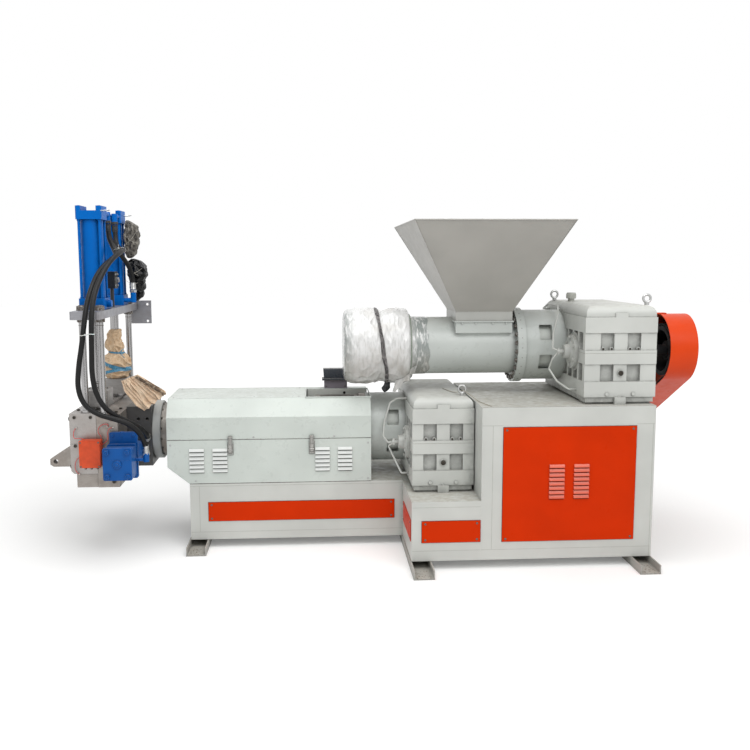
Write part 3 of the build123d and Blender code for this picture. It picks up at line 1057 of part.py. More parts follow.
def build():
    parts = {}
    parts["foot_channels"] = foot_channels()
    parts["main_base"] = block(BASE_X0, BASE_X1, BASE_FRONT_Y, BASE_BACK_Y, FOOT_H, DECK_Z)
    parts["gearbox_step"] = block(STEP_X0, BASE_X0, BASE_FRONT_Y, STEP_BACK_Y, FOOT_H, STEP_TOP_Z)
    parts["extruder_bench"] = block(BENCH_X0, STEP_X0, -BENCH_HALF_W, BENCH_HALF_W, FOOT_H, BENCH_TOP_Z)
    parts["cabinet_door"] = cabinet_door()
    parts["step_panels"] = step_panels()
    panel_x = BENCH_X0 + BENCH_PANEL_FROM_LEFT
    panel_top = BENCH_TOP_Z - BENCH_PANEL_DROP
    parts["bench_panel"] = block(panel_x, panel_x + BENCH_PANEL_LENGTH, -BENCH_HALF_W - PANEL_T,
                                 -BENCH_HALF_W, panel_top - BENCH_PANEL_HEIGHT, panel_top)

    case, cover = gearbox_halves(LOWER_GEARBOX_X0, LOWER_GEARBOX_W, LOWER_GEARBOX_Y0,
                                 STEP_TOP_Z + GEARBOX_SHIM, LOWER_LANTERN_R, LOWER_INPUT_Z)
    parts["lower_gearbox_case"] = case
    parts["lower_gearbox_cover"] = cover
    case, cover = gearbox_halves(UPPER_GEARBOX_X0, UPPER_GEARBOX_W, UPPER_GEARBOX_Y0,
                                 DECK_Z + GEARBOX_SHIM, LANTERN_R, INPUT_Z)
    shaft_seat = bar_x(UPPER_GEARBOX_X1 - SHAFT_SEAT - 5, UPPER_GEARBOX_X1 + 1, INPUT_Y, INPUT_Z, SHAFT_R + 6)
    parts["upper_gearbox_case"] = case - shaft_seat
    parts["upper_gearbox_cover"] = cover - shaft_seat
    parts["bearing_caps"] = bearing_caps()
    parts["pulley_bearing_cap"] = pulley_bearing_cap()
    parts["lifting_eyes"] = lifting_eyes()
    parts["oil_filler_cap"] = oil_filler_cap()
    parts["oil_pipes"] = oil_pipes()

    parts["drive_pulley"] = drive_pulley()
    parts["motor_pulley"] = motor_pulley()
    parts["drive_belt"] = drive_belt()
    parts["belt_guard"] = belt_guard()

    parts["coupling_housing"] = lantern(FLANGE_X1, UPPER_GEARBOX_X0, UPPER_AXIS_Y, UPPER_AXIS_Z, LANTERN_R,
                                        UPPER_GEARBOX_X0 - WINDOW_FROM_GEARBOX, WINDOW_W)
    flange = bar_x(FLANGE_X0, FLANGE_X1, UPPER_AXIS_Y, UPPER_AXIS_Z, FLANGE_R)
    parts["barrel_flange"] = flange - bar_x(FLANGE_X0 - 1, FLANGE_X1 + 1, UPPER_AXIS_Y, UPPER_AXIS_Z,
                                            BARREL_BORE_R)
    parts["upper_barrel"] = upper_barrel()
    parts["upper_screw"] = upper_screw()
    parts["discharge_head"] = discharge_head()
    parts["film_wrap"] = film_wrap()
    parts.update(hopper_pieces())

    parts["lower_coupling_housing"] = lantern(LANTERN_X0, LOWER_GEARBOX_X0, 0, LOWER_AXIS_Z, LOWER_LANTERN_R,
                                              LOWER_GEARBOX_X0 - LOWER_WINDOW_FROM_GEARBOX, LOWER_WINDOW_W)
    parts["lower_barrel"] = lower_barrel()
    parts["lower_screw_shank"] = bar_x(LANTERN_X0, LOWER_GEARBOX_X0, 0, LOWER_AXIS_Z, SHANK_R)
    parts.update(barrel_guard())
    parts["guard_latches"] = guard_latches()
    parts.update(vent_pieces())

    parts.update(die_pieces())
    parts["bracket_arms"] = bracket_arm()
    parts.update(plate_pieces())
    parts["hydraulic_cylinders"] = hydraulic_cylinders()
    parts.update(rods_and_gates())
    parts["rod_paper_wrap"] = rod_paper_wrap()
    parts["kraft_paper_sheet"] = kraft_paper_sheet()
    parts["terminal_box"] = terminal_box()
    parts.update(gear_motor_pieces())
    parts.update(packed_bags())
    parts.update(hoses())
    return parts


os.makedirs("parts", exist_ok=True)
for part_name, part_shape in build().items():
    save(part_name, part_shape)
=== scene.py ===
import math
import random

import bmesh
import bpy
from mathutils import Matrix, Vector, noise


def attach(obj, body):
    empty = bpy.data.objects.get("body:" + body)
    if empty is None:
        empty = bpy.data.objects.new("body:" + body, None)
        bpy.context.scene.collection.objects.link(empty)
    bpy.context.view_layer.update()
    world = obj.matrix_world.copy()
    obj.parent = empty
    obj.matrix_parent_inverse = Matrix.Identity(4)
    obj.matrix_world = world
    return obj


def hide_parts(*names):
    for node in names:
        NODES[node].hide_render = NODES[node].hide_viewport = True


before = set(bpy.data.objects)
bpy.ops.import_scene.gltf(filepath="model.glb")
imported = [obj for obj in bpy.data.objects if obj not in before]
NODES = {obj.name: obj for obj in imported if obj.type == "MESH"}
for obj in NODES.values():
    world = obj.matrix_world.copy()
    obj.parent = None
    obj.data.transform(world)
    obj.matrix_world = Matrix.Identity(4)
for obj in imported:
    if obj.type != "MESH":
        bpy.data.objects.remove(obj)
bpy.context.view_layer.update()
random.seed(11)


# The view of the photo: a camera in front of the machine, a little above its middle,
# turned 3.9 degrees towards the drive end and tipped 7.4 degrees down.
camera_data = bpy.data.cameras.new("photo_view")
camera_data.lens = 42.36
camera_data.sensor_width = 36.0
camera_data.shift_x = 0.00316
camera_data.shift_y = 0.0006
camera = bpy.data.objects.new("photo_view", camera_data)
camera.location = (-0.31004, -5.51698, 1.78009)
camera.rotation_euler = (math.radians(82.624), math.radians(0.08), math.radians(-3.86))
bpy.context.scene.collection.objects.link(camera)
bpy.context.scene.camera = camera
bpy.context.scene.view_settings.view_transform = "Standard"


# Plain pale floor and a soft white studio: an even surround, one wide lamp in front and above,
# and another over the machine that lights its top faces.
def linear(colour):
    """Linear RGBA of a #RRGGBB colour."""
    parts = [int(colour[i:i + 2], 16) / 255 for i in (1, 3, 5)]
    return tuple(c / 12.92 if c <= 0.04045 else ((c + 0.055) / 1.055) ** 2.4 for c in parts) + (1.0,)


def add_node(tree, kind, inputs=None, **settings):
    """Node of a kind with its settings made and its inputs set or linked."""
    made = tree.nodes.new("ShaderNode" + kind)
    for key, value in settings.items():
        setattr(made, key, value)
    feed(tree, made, inputs or {})
    return made


def feed(tree, made, inputs):
    """A node's inputs set to values or linked to sockets."""
    for key, value in inputs.items():
        if isinstance(value, bpy.types.NodeSocket):
            tree.links.new(value, made.inputs[key])
        else:
            made.inputs[key].default_value = value


def maths(tree, operation, *values):
    """Result of a Math node on values or sockets."""
    return add_node(tree, "Math", dict(enumerate(values)), operation=operation).outputs[0]


def spread(tree, value, low, high, to_low=0.0, to_high=1.0):
    """Part of a value's range, stretched and clamped to another."""
    return add_node(tree, "MapRange", {"Value": value, "From Min": low, "From Max": high, "To Min": to_low,
                                       "To Max": to_high}).outputs[0]


def white_to_eye(tree, level):
    """Value of 1 for rays from the camera, mirrors and glass, and a lower level for the light itself."""
    path = add_node(tree, "LightPath").outputs
    seen = maths(tree, "MAXIMUM", path["Is Camera Ray"], path["Is Glossy Ray"])
    return spread(tree, maths(tree, "MAXIMUM", seen, path["Is Transmission Ray"]), 0, 1, level, 1.0)


SURROUND_LEVEL = 0.51
world = bpy.data.worlds.new("studio")
bpy.context.scene.world = world
world.use_nodes = True
feed(world.node_tree, world.node_tree.nodes["Background"],
     {"Color": (1, 1, 1, 1), "Strength": white_to_eye(world.node_tree, SURROUND_LEVEL)})

FLOOR_HALF = 30
floor_mesh = bpy.data.meshes.new("floor")
floor_mesh.from_pydata([(x * FLOOR_HALF, y * FLOOR_HALF, 0) for x, y in ((-1, -1), (1, -1), (1, 1), (-1, 1))], [],
                       [(0, 1, 2, 3)])
floor = bpy.data.objects.new("floor", floor_mesh)
bpy.context.scene.collection.objects.link(floor)
# Pale matt floor with a glow seen only from the camera, rising away from the machine, so that the floor runs into the
# surround.
floor_paint = bpy.data.materials.new("pale_floor")
floor_paint.use_nodes = True
floor_tree = floor_paint.node_tree
floor_tree.nodes.clear()
away = add_node(floor_tree, "VectorMath", {0: add_node(floor_tree, "NewGeometry").outputs["Position"]},
                operation="LENGTH").outputs["Value"]
glow = maths(floor_tree, "MULTIPLY", spread(floor_tree, away, 1.6, 6.0, 0.14, 0.6), white_to_eye(floor_tree, 0.0))
floor_diffuse = add_node(floor_tree, "BsdfDiffuse", {"Color": linear("#F2F2F1")})
floor_glow = add_node(floor_tree, "Emission", {"Color": (1, 1, 1, 1), "Strength": glow})
floor_sum = add_node(floor_tree, "AddShader", {0: floor_diffuse.outputs[0], 1: floor_glow.outputs[0]})
add_node(floor_tree, "OutputMaterial", {"Surface": floor_sum.outputs[0]})
floor_mesh.materials.append(floor_paint)

LAMP_SIZE = 4.5
AIM = Vector((0, 0, 0.9))
for lamp_name, lamp_place, lamp_power in (("front_lamp", (2.2, -4.9, 5.2), 150), ("top_lamp", (-0.5, -1.0, 5.4), 165)):
    lamp_data = bpy.data.lights.new(lamp_name, "AREA")
    lamp_data.size = LAMP_SIZE
    lamp_data.energy = lamp_power
    lamp = bpy.data.objects.new(lamp_name, lamp_data)
    lamp.location = lamp_place
    lamp.rotation_euler = (AIM - Vector(lamp_place)).to_track_quat("-Z", "Y").to_euler()
    bpy.context.scene.collection.objects.link(lamp)


# Three hydraulic hoses from the cylinders' upper ports: 30 mm rubber hose with a wrapped, slightly
# ribbed cover, crimped into zinc plated sleeves, and held together by two white nylon ties.
def at(x, y, z):
    """Point in metres from the setting-out millimetres of the machine."""
    return Vector(((x + 413.5) / 1000, (y + 202.0) / 1000, z / 1000))


def parts(steps):
    """Parts of a whole from 0 to 1 in equal steps."""
    return [i / steps for i in range(steps + 1)]


def turns(count, start=0.0):
    """Angles of equal steps round a circle, the first at a part of a step."""
    return [2 * math.pi * (i + start) / count for i in range(count)]


def new_material(name):
    """Empty material with its tree and shader."""
    material = bpy.data.materials.new(name)
    material.use_nodes = True
    return material, material.node_tree, material.node_tree.nodes["Principled BSDF"]


def texture(tree, kind, size_mm, squash=(1, 1, 1), feature=None, **inputs):
    """First output of a noise, Voronoi or wave over the object itself, its pattern size_mm across."""
    place = add_node(tree, "TexCoord").outputs["Object"]
    mapped = add_node(tree, "Mapping", {"Vector": place, "Scale": tuple(1000.0 / size_mm * s for s in squash)})
    made = add_node(tree, kind, {"Vector": mapped.outputs[0], "Scale": 1.0, **inputs})
    if feature:
        made.feature = feature
    return made.outputs[0]


def blend(tree, factor, first, second):
    """Colour between two, each a #RRGGBB colour, an RGBA tuple or a socket."""
    colours = [linear(colour) if isinstance(colour, str) else colour for colour in (first, second)]
    return add_node(tree, "Mix", {0: factor, 6: colours[0], 7: colours[1]}, data_type="RGBA").outputs[2]


def bump(tree, height, distance_mm, normal=None):
    """Surface raised by a height of 0 to 1 times the distance."""
    inputs = {"Height": height, "Distance": distance_mm / 1000, "Strength": 1.0}
    if normal is not None:
        inputs["Normal"] = normal
    return add_node(tree, "Bump", inputs).outputs[0]


def two_tone(name, first, second, size_mm, rough, kind="TexNoise", squash=(1, 1, 1), tones=None, raised_mm=0.0,
             grain_mm=None, look=None, **pattern):
    """Material clouded between two colours. Its roughness is a value or a range; it is raised by a fine grain
    of its own, or by the clouding itself."""
    material, tree, shader = new_material(name)
    cloud = texture(tree, kind, size_mm, squash, **pattern)
    feed(tree, shader, {
        "Base Color": blend(tree, spread(tree, cloud, *tones) if tones else cloud, first, second),
        "Roughness": spread(tree, cloud, 0.3, 0.7, *rough) if isinstance(rough, tuple) else rough, **(look or {})})
    if raised_mm:
        height = texture(tree, "TexNoise", grain_mm) if grain_mm else cloud
        feed(tree, shader, {"Normal": bump(tree, height, raised_mm)})
    return material


def cord_curve(name, points, radius_mm, material):
    """Smooth round cord along control points given in setting-out millimetres."""
    curve = bpy.data.curves.new(name, "CURVE")
    curve.dimensions = "3D"
    curve.bevel_depth = radius_mm / 1000
    curve.bevel_resolution = 5
    curve.resolution_u = 10
    curve.use_fill_caps = True
    spline = curve.splines.new("NURBS")
    spline.points.add(len(points) - 1)
    for control, place in zip(spline.points, points):
        control.co = (*at(*place), 1.0)
    spline.order_u = 3
    spline.use_endpoint_u = True
    piece = bpy.data.objects.new(name, curve)
    bpy.context.scene.collection.objects.link(piece)
    curve.materials.append(material)
    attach(piece, "machine")
    return piece


def mesh_piece(name, bm, materials, smooth=35):
    """Object from a bmesh, on the machine, smooth below an angle in degrees."""
    mesh = bpy.data.meshes.new(name)
    bmesh.ops.recalc_face_normals(bm, faces=bm.faces)
    bm.to_mesh(mesh)
    bm.free()
    for material in (materials if isinstance(materials, list) else [materials]):
        mesh.materials.append(material)
    mesh.shade_smooth()
    mesh.set_sharp_from_angle(angle=math.radians(smooth))
    piece = bpy.data.objects.new(name, mesh)
    bpy.context.scene.collection.objects.link(piece)
    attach(piece, "machine")
    return piece


def skin(bm, rows, closed=False):
    """Faces between each row of vertices and the next, carried round where the rows are rings."""
    for low, high in zip(rows, rows[1:]):
        for i in range(len(low) - (not closed)):
            j = (i + 1) % len(low)
            bm.faces.new((low[i], low[j], high[j], high[i]))


def lathe(bm, profile, sides, place, axis, spin=0.0, index=0):
    """Turned or many-sided body from (radius, height) pairs in millimetres, standing on place along axis."""
    turn = Vector((0, 0, 1)).rotation_difference(Vector(axis)).to_matrix()
    rings = []
    for radius, height in profile:
        angles = [spin + angle for angle in turns(sides)] if radius else [0]
        rings.append([bm.verts.new(place + turn @ (Vector((radius * math.cos(a), radius * math.sin(a), height)) / 1000))
                      for a in angles])
    for low, high in zip(rings, rings[1:]):
        for i in range(sides):
            corners = [low[i % len(low)], low[(i + 1) % len(low)], high[(i + 1) % len(high)], high[i % len(high)]]
            corners = list(dict.fromkeys(corners))
            if len(corners) > 2:
                bm.faces.new(corners).material_index = index


def tie_band(name, first, second, along, material):
    """Flat tie pulled round two hoses, with its square head and cut tail."""
    bm = bmesh.new()
    along = Vector(along).normalized()
    apart = second - first
    side = (apart - along * apart.dot(along)).normalized()
    out = along.cross(side)
    loop = []
    for hose_centre, start in ((second, math.pi / 2), (first, -math.pi / 2)):
        for part in parts(12):
            angle = start - math.pi * part
            loop.append(hose_centre + TIE_REACH * (math.cos(angle) * side + math.sin(angle) * out))
    centre = (first + second) / 2
    rings = []
    for point in loop:
        away = (point - centre).normalized() * 0.0014
        rings.append([bm.verts.new(point + along * dz + shift) for dz, shift in
                      ((-0.0024, Vector()), (-0.0024, away), (0.0024, away), (0.0024, Vector()))])
    skin(bm, rings + rings[:1], closed=True)
    head = centre + out * TIE_REACH
    tie_axes = Matrix((side, out, along)).transposed()
    for size, shift in (((0.0045, 0.0035, 0.004), out * 0.003), ((0.0011, 0.012, 0.0022), out * 0.012 + side * 0.004)):
        for vert in bmesh.ops.create_cube(bm, size=2.0)["verts"]:
            vert.co = head + shift + tie_axes @ Vector([part * half for part, half in zip(vert.co, size)])
    return mesh_piece(name, bm, material)


# Calendered black rubber that took the print of its nylon wrap, chalky where it has been handled.
RUBBER, tree, shader = new_material("hose_rubber")
chalk = texture(tree, "TexNoise", 55, Detail=6.0)
feed(tree, shader, {
    "Base Color": blend(tree, spread(tree, chalk, 0.45, 0.75, 0, 0.55), "#0A0A0B", "#1C1B1A"),
    "Specular IOR Level": 0.3, "Roughness": spread(tree, chalk, 0.3, 0.7, 0.42, 0.62),
    "Normal": bump(tree, texture(tree, "TexVoronoi", 2.2, Randomness=0.4), 0.35)})
# Bright zinc over turned steel, clouded by handling; black passivated zinc; milky nylon, a little waxy.
ZINC = two_tone("zinc_plate", "#C9CACB", "#A3A39F", 9, (0.22, 0.48), raised_mm=0.05, grain_mm=0.8,
                look={"Metallic": 1.0}, Detail=5.0)
BLACK_ZINC = two_tone("black_passivated_zinc", "#2A2B2D", "#4A4A4B", 9, (0.35, 0.6), look={"Metallic": 0.8},
                      Detail=5.0)
NYLON = two_tone("white_nylon", "#F0EFEA", "#D9D8D0", 6, (0.3, 0.5), look={"Subsurface Weight": 0.15}, Detail=3.0)
HOSE_RADIUS = 15
TIE_REACH = 0.017
SLEEVE = [(21.0, 18), (19.0, 20), (18.6, 22), (18.6, 28), (17.6, 30), (18.6, 32), (18.6, 38), (17.6, 40),
          (18.6, 42), (18.6, 48), (17.4, 50), (17.4, 60), (15.2, 62)]
SLEEVE_NUT = [(0, -14), (19.5, -14), (22.5, -11), (22.5, 3), (19.5, 6), (0, 6)]
HOSES = {
    "front_hose": (1.844, [
        (-1984, -100, 2010), (-1984, -100, 1938), (-1950, -122, 1864), (-1914, -200, 1818), (-1918, -302, 1797),
        (-1948, -388, 1760), (-1980, -455, 1698), (-2000, -525, 1615), (-2010, -595, 1528), (-2018, -632, 1425),
        (-2034, -634, 1310), (-2060, -626, 1185), (-2074, -616, 1055), (-2042, -610, 960), (-1970, -604, 905),
        (-1882, -600, 878), (-1800, -588, 848), (-1743, -556, 785), (-1720, -516, 706), (-1722, -500, 660)]),
    "rear_hose": (2.084, [
        (-1984, 100, 2010), (-1984, 100, 1930), (-1962, 52, 1872), (-1914, -45, 1848), (-1884, -150, 1850),
        (-1876, -262, 1838), (-1896, -365, 1806), (-1924, -440, 1752), (-1950, -505, 1680), (-1968, -575, 1595),
        (-1972, -635, 1500), (-1974, -650, 1390), (-1980, -638, 1265), (-1990, -615, 1140), (-1976, -598, 1020),
        (-1925, -580, 925), (-1850, -540, 868), (-1790, -475, 822), (-1752, -398, 770), (-1744, -318, 718),
        (-1762, -240, 690)]),
    "short_hose": (0.461, [
        (-2026, 100, 2010), (-2026, 100, 1938), (-1985, 108, 1862), (-1940, 142, 1795), (-1912, 185, 1730),
        (-1905, 212, 1665), (-1905, 212, 1600)]),
}
ties = {"front_hose": [
    tie_band("upper_hose_tie", at(-1926, -165, 1838), at(-1886, -150, 1849), (0.2, -1, -0.1), NYLON),
    tie_band("lower_hose_tie", at(-2026, -633, 1365), at(-1975, -648, 1375), (-0.1, 0.02, -1), NYLON)]}
for hose, (hose_length, hose_points) in HOSES.items():
    cord = cord_curve(hose + "_line", hose_points, HOSE_RADIUS, RUBBER)
    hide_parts(hose)
    bm = bmesh.new()
    for index, (end, following) in enumerate((hose_points[:-3:-1], hose_points[:2])):
        axis = (at(*following) - at(*end)).normalized()
        lathe(bm, SLEEVE, 28, at(*end) - axis * 0.018, axis, index=index)
        lathe(bm, SLEEVE_NUT, 6, at(*end) - axis * 0.008, axis, index=index)
    sleeves = mesh_piece(hose + "_sleeves", bm, [ZINC, BLACK_ZINC])


# Feet: rolled U-channels laid web down, painted with the base and scuffed by the fork lift,
# with dust and swarf lying in their troughs.
def painted_corner_shade(tree, reach_mm, low, high, amount, samples=6):
    """Amount of painted shade in corners within a reach, falling to none on open faces."""
    corner = add_node(tree, "AmbientOcclusion", {"Distance": reach_mm / 1000}, samples=samples)
    return spread(tree, corner.outputs["AO"], low, high, amount, 0.0)


def enamel(name, colour, gloss=0.4, cast=0.0, dust=0.3, wave=0.0, chips=0.0, under="#6E5A48", grime_and_shade=0.62,
           reach_mm=35, shine=0.5):
    """Sprayed machine enamel: orange peel, a slow drift of tone, grime and painted shade in corners, dust on top, a
    painted highlight along the edges, and chips at them.
    """
    material, tree, shader = new_material(name)

    def shade(share):
        return tuple(min(1, c * share) for c in linear(colour)[:3]) + (1,)

    drift = texture(tree, "TexNoise", 300, Detail=3.0)
    patch = texture(tree, "TexNoise", 42, Detail=7.0, Roughness=0.62)
    tone = blend(tree, spread(tree, drift, 0.35, 0.65), shade(0.93), shade(1.04))
    # Grime and painted shade: corners darkened in patches, towards a third of the colour.
    soiled_and_shaded = maths(tree, "MULTIPLY", painted_corner_shade(tree, reach_mm, 0.45, 0.97, grime_and_shade),
                   spread(tree, patch, 0.3, 0.62, 0.35, 1.0))
    tone = blend(tree, soiled_and_shaded, tone, shade(0.34))
    geometry = add_node(tree, "NewGeometry")
    up = add_node(tree, "SeparateXYZ", {0: geometry.outputs["Normal"]}).outputs[2]
    settled = maths(tree, "MULTIPLY", spread(tree, up, 0.55, 0.98, 0.0, dust), spread(tree, patch, 0.25, 0.75))
    tone = blend(tree, settled, tone, "#A8A296")
    rounded = add_node(tree, "Bevel", {"Radius": 0.0022}, samples=4).outputs[0]
    edge = add_node(tree, "VectorMath", {0: rounded, 1: geometry.outputs["Normal"]}, operation="DOT_PRODUCT")
    edge = spread(tree, edge.outputs["Value"], 0.995, 0.9)
    # Painted highlight: every edge a little lighter than the face beside it.
    tone = blend(tree, maths(tree, "MULTIPLY", edge, 0.35), tone, shade(1.22))
    if chips:
        flake = texture(tree, "TexNoise", 7, Detail=5.0, Roughness=0.7)
        chipped = maths(tree, "MULTIPLY", spread(tree, flake, 0.62 - 0.12 * chips, 0.66 - 0.1 * chips),
                        spread(tree, edge, 0.15, 0.6))
        tone = blend(tree, chipped, tone, under)
    rough = maths(tree, "MULTIPLY_ADD", settled, 0.45, spread(tree, patch, 0.3, 0.7, gloss - 0.07, gloss + 0.1))
    normal = bump(tree, texture(tree, "TexNoise", 2.4, Detail=2.0), 0.10, rounded)
    if cast:
        normal = bump(tree, texture(tree, "TexNoise", 5.5, Detail=5.0, Roughness=0.6), cast, normal)
    if wave:
        normal = bump(tree, texture(tree, "TexNoise", 330, Detail=1.0), wave, normal)
    feed(tree, shader, {"Base Color": tone, "Roughness": rough, "Specular IOR Level": shine, "Normal": normal})
    return material


def paint(material, *nodes):
    """Finish of CAD nodes, put into their material slots."""
    for node in nodes:
        for material_slot in NODES[node].material_slots:
            material_slot.material = material


paint(enamel("scuffed_foot_enamel", "#A9A8A2", 0.55, dust=0.75, chips=1.0, under="#4C4138"), "foot_channels")
FOOT_FLOOR_Z = 7.2
GRAINS_A_FOOT = 70
bm = bmesh.new()
for foot_x, front, back in ((-1448, -474, 474), (-114, -976, 404), (1189, -976, 404)):
    for grain in range(GRAINS_A_FOOT):
        y = random.choice((random.uniform(front + 4, front + 150), random.uniform(back - 150, back - 4)))
        spot = at(foot_x + random.uniform(-46, 46), y, FOOT_FLOOR_Z)
        lathe(bm, [(0, 0), (random.uniform(1.5, 4.5), 0.3), (random.uniform(0.5, 1.5), random.uniform(1, 3)), (0, 3.2)],
              5, spot, (random.uniform(-0.4, 0.4), random.uniform(-0.4, 0.4), 1), random.uniform(0, 6))
# Dry brown dust and swarf.
mesh_piece("foot_grit", bm, two_tone("floor_grit", "#4A4038", "#9A8F80", 4, 0.95, Detail=3.0))


# Main base, step and bench: welded 5 mm sheet on a tube frame, filled, rubbed down and sprayed light
# grey. The frame's welds show as faint lines, and dust lies on its upper faces.
paint(enamel("light_grey_enamel", "#C8CAC5", 0.36, dust=0.9, wave=0.9, chips=0.35), "main_base", "gearbox_step",
      "extruder_bench")
BASE_FRONT, BASE_BACK, BASE_RIGHT, BASE_TOP = -811, 239, 1249, 952
BENCH_SIDE = 309
SEAM_STEP = 0.02


def seam_strip(bm, first, second, normal, width_mm=3.2, height_mm=0.7):
    """Low rounded bead of filler or weld between two setting-out points, its height a little uneven."""
    first, second, normal = at(*first), at(*second), Vector(normal)
    across = (second - first).normalized().cross(normal)
    rows = []
    for part in parts(max(2, int((second - first).length / SEAM_STEP))):
        middle = first.lerp(second, part)
        swell = 1 + 0.35 * noise.noise(middle * 60)
        rows.append([bm.verts.new(middle + across * math.sin(angle) * width_mm / 2000 * swell
                                  + normal * (math.cos(angle) * height_mm * swell - 0.15) / 1000)
                     for angle in map(math.radians, (-90, -45, 0, 45, 90))])
    skin(bm, rows)


def face_seams(bm, y, lines, **size):
    """Seams on a face at y, looking forwards or backwards, each line from (x, z) to (x, z)."""
    for x0, z0, x1, z1 in lines:
        seam_strip(bm, (x0, y, z0), (x1, y, z1), (0, math.copysign(1, y), 0), **size)


bm = bmesh.new()
face_seams(bm, BASE_FRONT, ((236, 846, 356, 846), (1140, 846, 1247, 846), (1236, 57, 1236, 844),
                            (298, 116, 298, 844), (236, 114, 1234, 114), (-164, 114, 232, 114), (-164, 372, 232, 372)))
for z in (101, 394):
    for y in (-BENCH_SIDE, BENCH_SIDE):
        face_seams(bm, y, [(-1496, z, -171, z)])
face_seams(bm, -BENCH_SIDE, [(-1440, 103, -1440, 392)])
face_seams(bm, BASE_BACK, ((296, 57, 296, 948), (1205, 57, 1205, 948), (298, 846, 1203, 846), (298, 124, 1203, 124)))
for y in (-750, 180):
    seam_strip(bm, (BASE_RIGHT, y, 57), (BASE_RIGHT, y, 948), (1, 0, 0))
seam_strip(bm, (BASE_RIGHT, -748, 846), (BASE_RIGHT, 178, 846), (1, 0, 0))
seam_strip(bm, (330, -809, BASE_TOP), (330, 237, BASE_TOP), (0, 0, 1))
# Enamel over filler, duller than the sheet beside it.
mesh_piece("base_weld_lines", bm, enamel("filled_weld_enamel", "#B2B4AD", 0.5, cast=0.2))


# Cover panels: 1.5 mm sheet with pressed louvres, glossy orange-red, held by cross-slot screws.
# The paint is thin and slightly wavy on the big door.
paint(enamel("orange_red_enamel", "#D13100", 0.32, dust=0.05, wave=1.2, chips=0.4, under="#7A7A74", shine=0.06),
      "cabinet_door", "step_panels", "bench_panel")
# Blackened steel screws, worn bright in places.
DARK_SCREW = two_tone("blackened_screw", "#3C3A38", "#8B8782", 3, 0.45, look={"Metallic": 0.8}, Detail=4.0)
# Left, right, face, bottom and top of each panel.
PANELS = ((358, 1138, BASE_FRONT, 161, 835), (-110, 231, BASE_FRONT, 164, 291), (-1386, -224, -BENCH_SIDE, 171, 290))
PANEL_THICK = 4


def pan_screw(bm, place, axis, head_mm):
    """Domed screw head with a cross slot, on a thin washer."""
    r = head_mm / 2
    lathe(bm, [(r * 1.45, 0), (r * 1.45, 0.9), (r * 1.05, 1.0)], 20, place, axis)
    lathe(bm, [(r, 0.9), (r, 1.6), (r * 0.86, 2.7), (r * 0.5, 3.5), (r * 0.42, 2.4), (0, 2.3)], 16, place, axis,
          random.uniform(0, 3))


bm = bmesh.new()
for x0, x1, y, z0, z1 in PANELS:
    for x in (x0 + 20, x1 - 20):
        for z in (z0 + 16, z1 - 16):
            pan_screw(bm, at(x, y - PANEL_THICK, z), (0, -1, 0), 9)
for y in (-763, -379):
    for z in (180, 275):
        pan_screw(bm, at(-173, y, z), (-1, 0, 0), 9)
mesh_piece("panel_screws", bm, DARK_SCREW)


def louvre_face(bm, x0, x1, y, z, side):
    """Sloping outer face of a pressed louvre, a little crowned by the press, its lip at z."""
    skin(bm, [[bm.verts.new(at(x, y + side * depth, z + rise)) for x in (x0 + 1, x0 + 6, x1 - 6, x1 - 1)]
              for depth, rise in ((8.5, 0.4), (8.3, 2.4), (4.9, 10.2), (1.2, 18.6))])


def louvre_lip_shadow(bm, x0, x1, y, z, side):
    """Dark band of painted shadow on the sheet below a louvre's lip."""
    bm.faces.new([bm.verts.new(at(x, y + side * 0.35, z + dz)) for x, dz in (
        (x0 + 1, -4.6), (x0 + 8, -6.2), (x1 - 8, -6.2), (x1 - 1, -4.6), (x1, -0.6), (x0, -0.6))])


# Left, right, face and lip height of each louvre: two columns in the door, four on each side of the guard.
LOUVRE_PITCH = 26
RED_LOUVRES = [(x, x + 91, BASE_FRONT - PANEL_THICK, 596 - LOUVRE_PITCH * row, -1) for x in (628, 773)
               for row in range(8)]
GREY_LOUVRES = [(x, x + 92, side * BENCH_SIDE, 613 - LOUVRE_PITCH * row, side) for x in (-1497, -1354, -720, -579)
                for side in (-1, 1) for row in range(6)]
# The louvres' faces are coloured lighter than their panels as a painted highlight, and the sheet under their lips gets
# a dark strip of painted shadow.
for name, places, face, lip_shadow_tone in (("door_louvre", RED_LOUVRES, "#E0644A", "#5A1405"),
                                  ("guard_louvre", GREY_LOUVRES, "#E3E6E3", "#6A6F6A")):
    bm = bmesh.new()
    for place in places:
        louvre_face(bm, *place)
    mesh_piece(name + "_faces", bm, enamel(name + "_enamel", face, 0.2, dust=0.1))
    bm = bmesh.new()
    for place in places:
        louvre_lip_shadow(bm, *place)
    mesh_piece(name + "_lip_shadows", bm, enamel(name + "_painted_shadow_enamel", lip_shadow_tone, 0.7, dust=0.0, shine=0.1))

# Crumbling rubber round the panels, painted shadow in the gap between guard and bench, and a dark line along the deck.
# The same dark strips paint the shadow in the lid's gap and round the latches.
GASKET_AND_PAINTED_SHADOW = two_tone("gasket_and_painted_shadow", "#1C120E", "#38241C", 3, 0.85, Detail=3.0)
bm = bmesh.new()
for x0, x1, y, z0, z1 in PANELS:
    x0, x1, z0, z1 = x0 - 1, x1 + 1, z0 - 1, z1 + 1
    face_seams(bm, y, ((x0, z0, x1, z0), (x1, z0, x1, z1), (x1, z1, x0, z1), (x0, z1, x0, z0)), width_mm=3.0,
               height_mm=1.2)
for y in (-BENCH_SIDE, BENCH_SIDE):
    face_seams(bm, y, [(-1498, 410.5, -371, 410.5)], width_mm=3.4, height_mm=0.9)
seam_strip(bm, (236, BASE_FRONT, 951.4), (1246, BASE_FRONT, 951.4), (0, -0.7, 0.7), 0.9, 0.3)
mesh_piece("panel_gaskets_and_shadow_lines", bm, GASKET_AND_PAINTED_SHADOW)


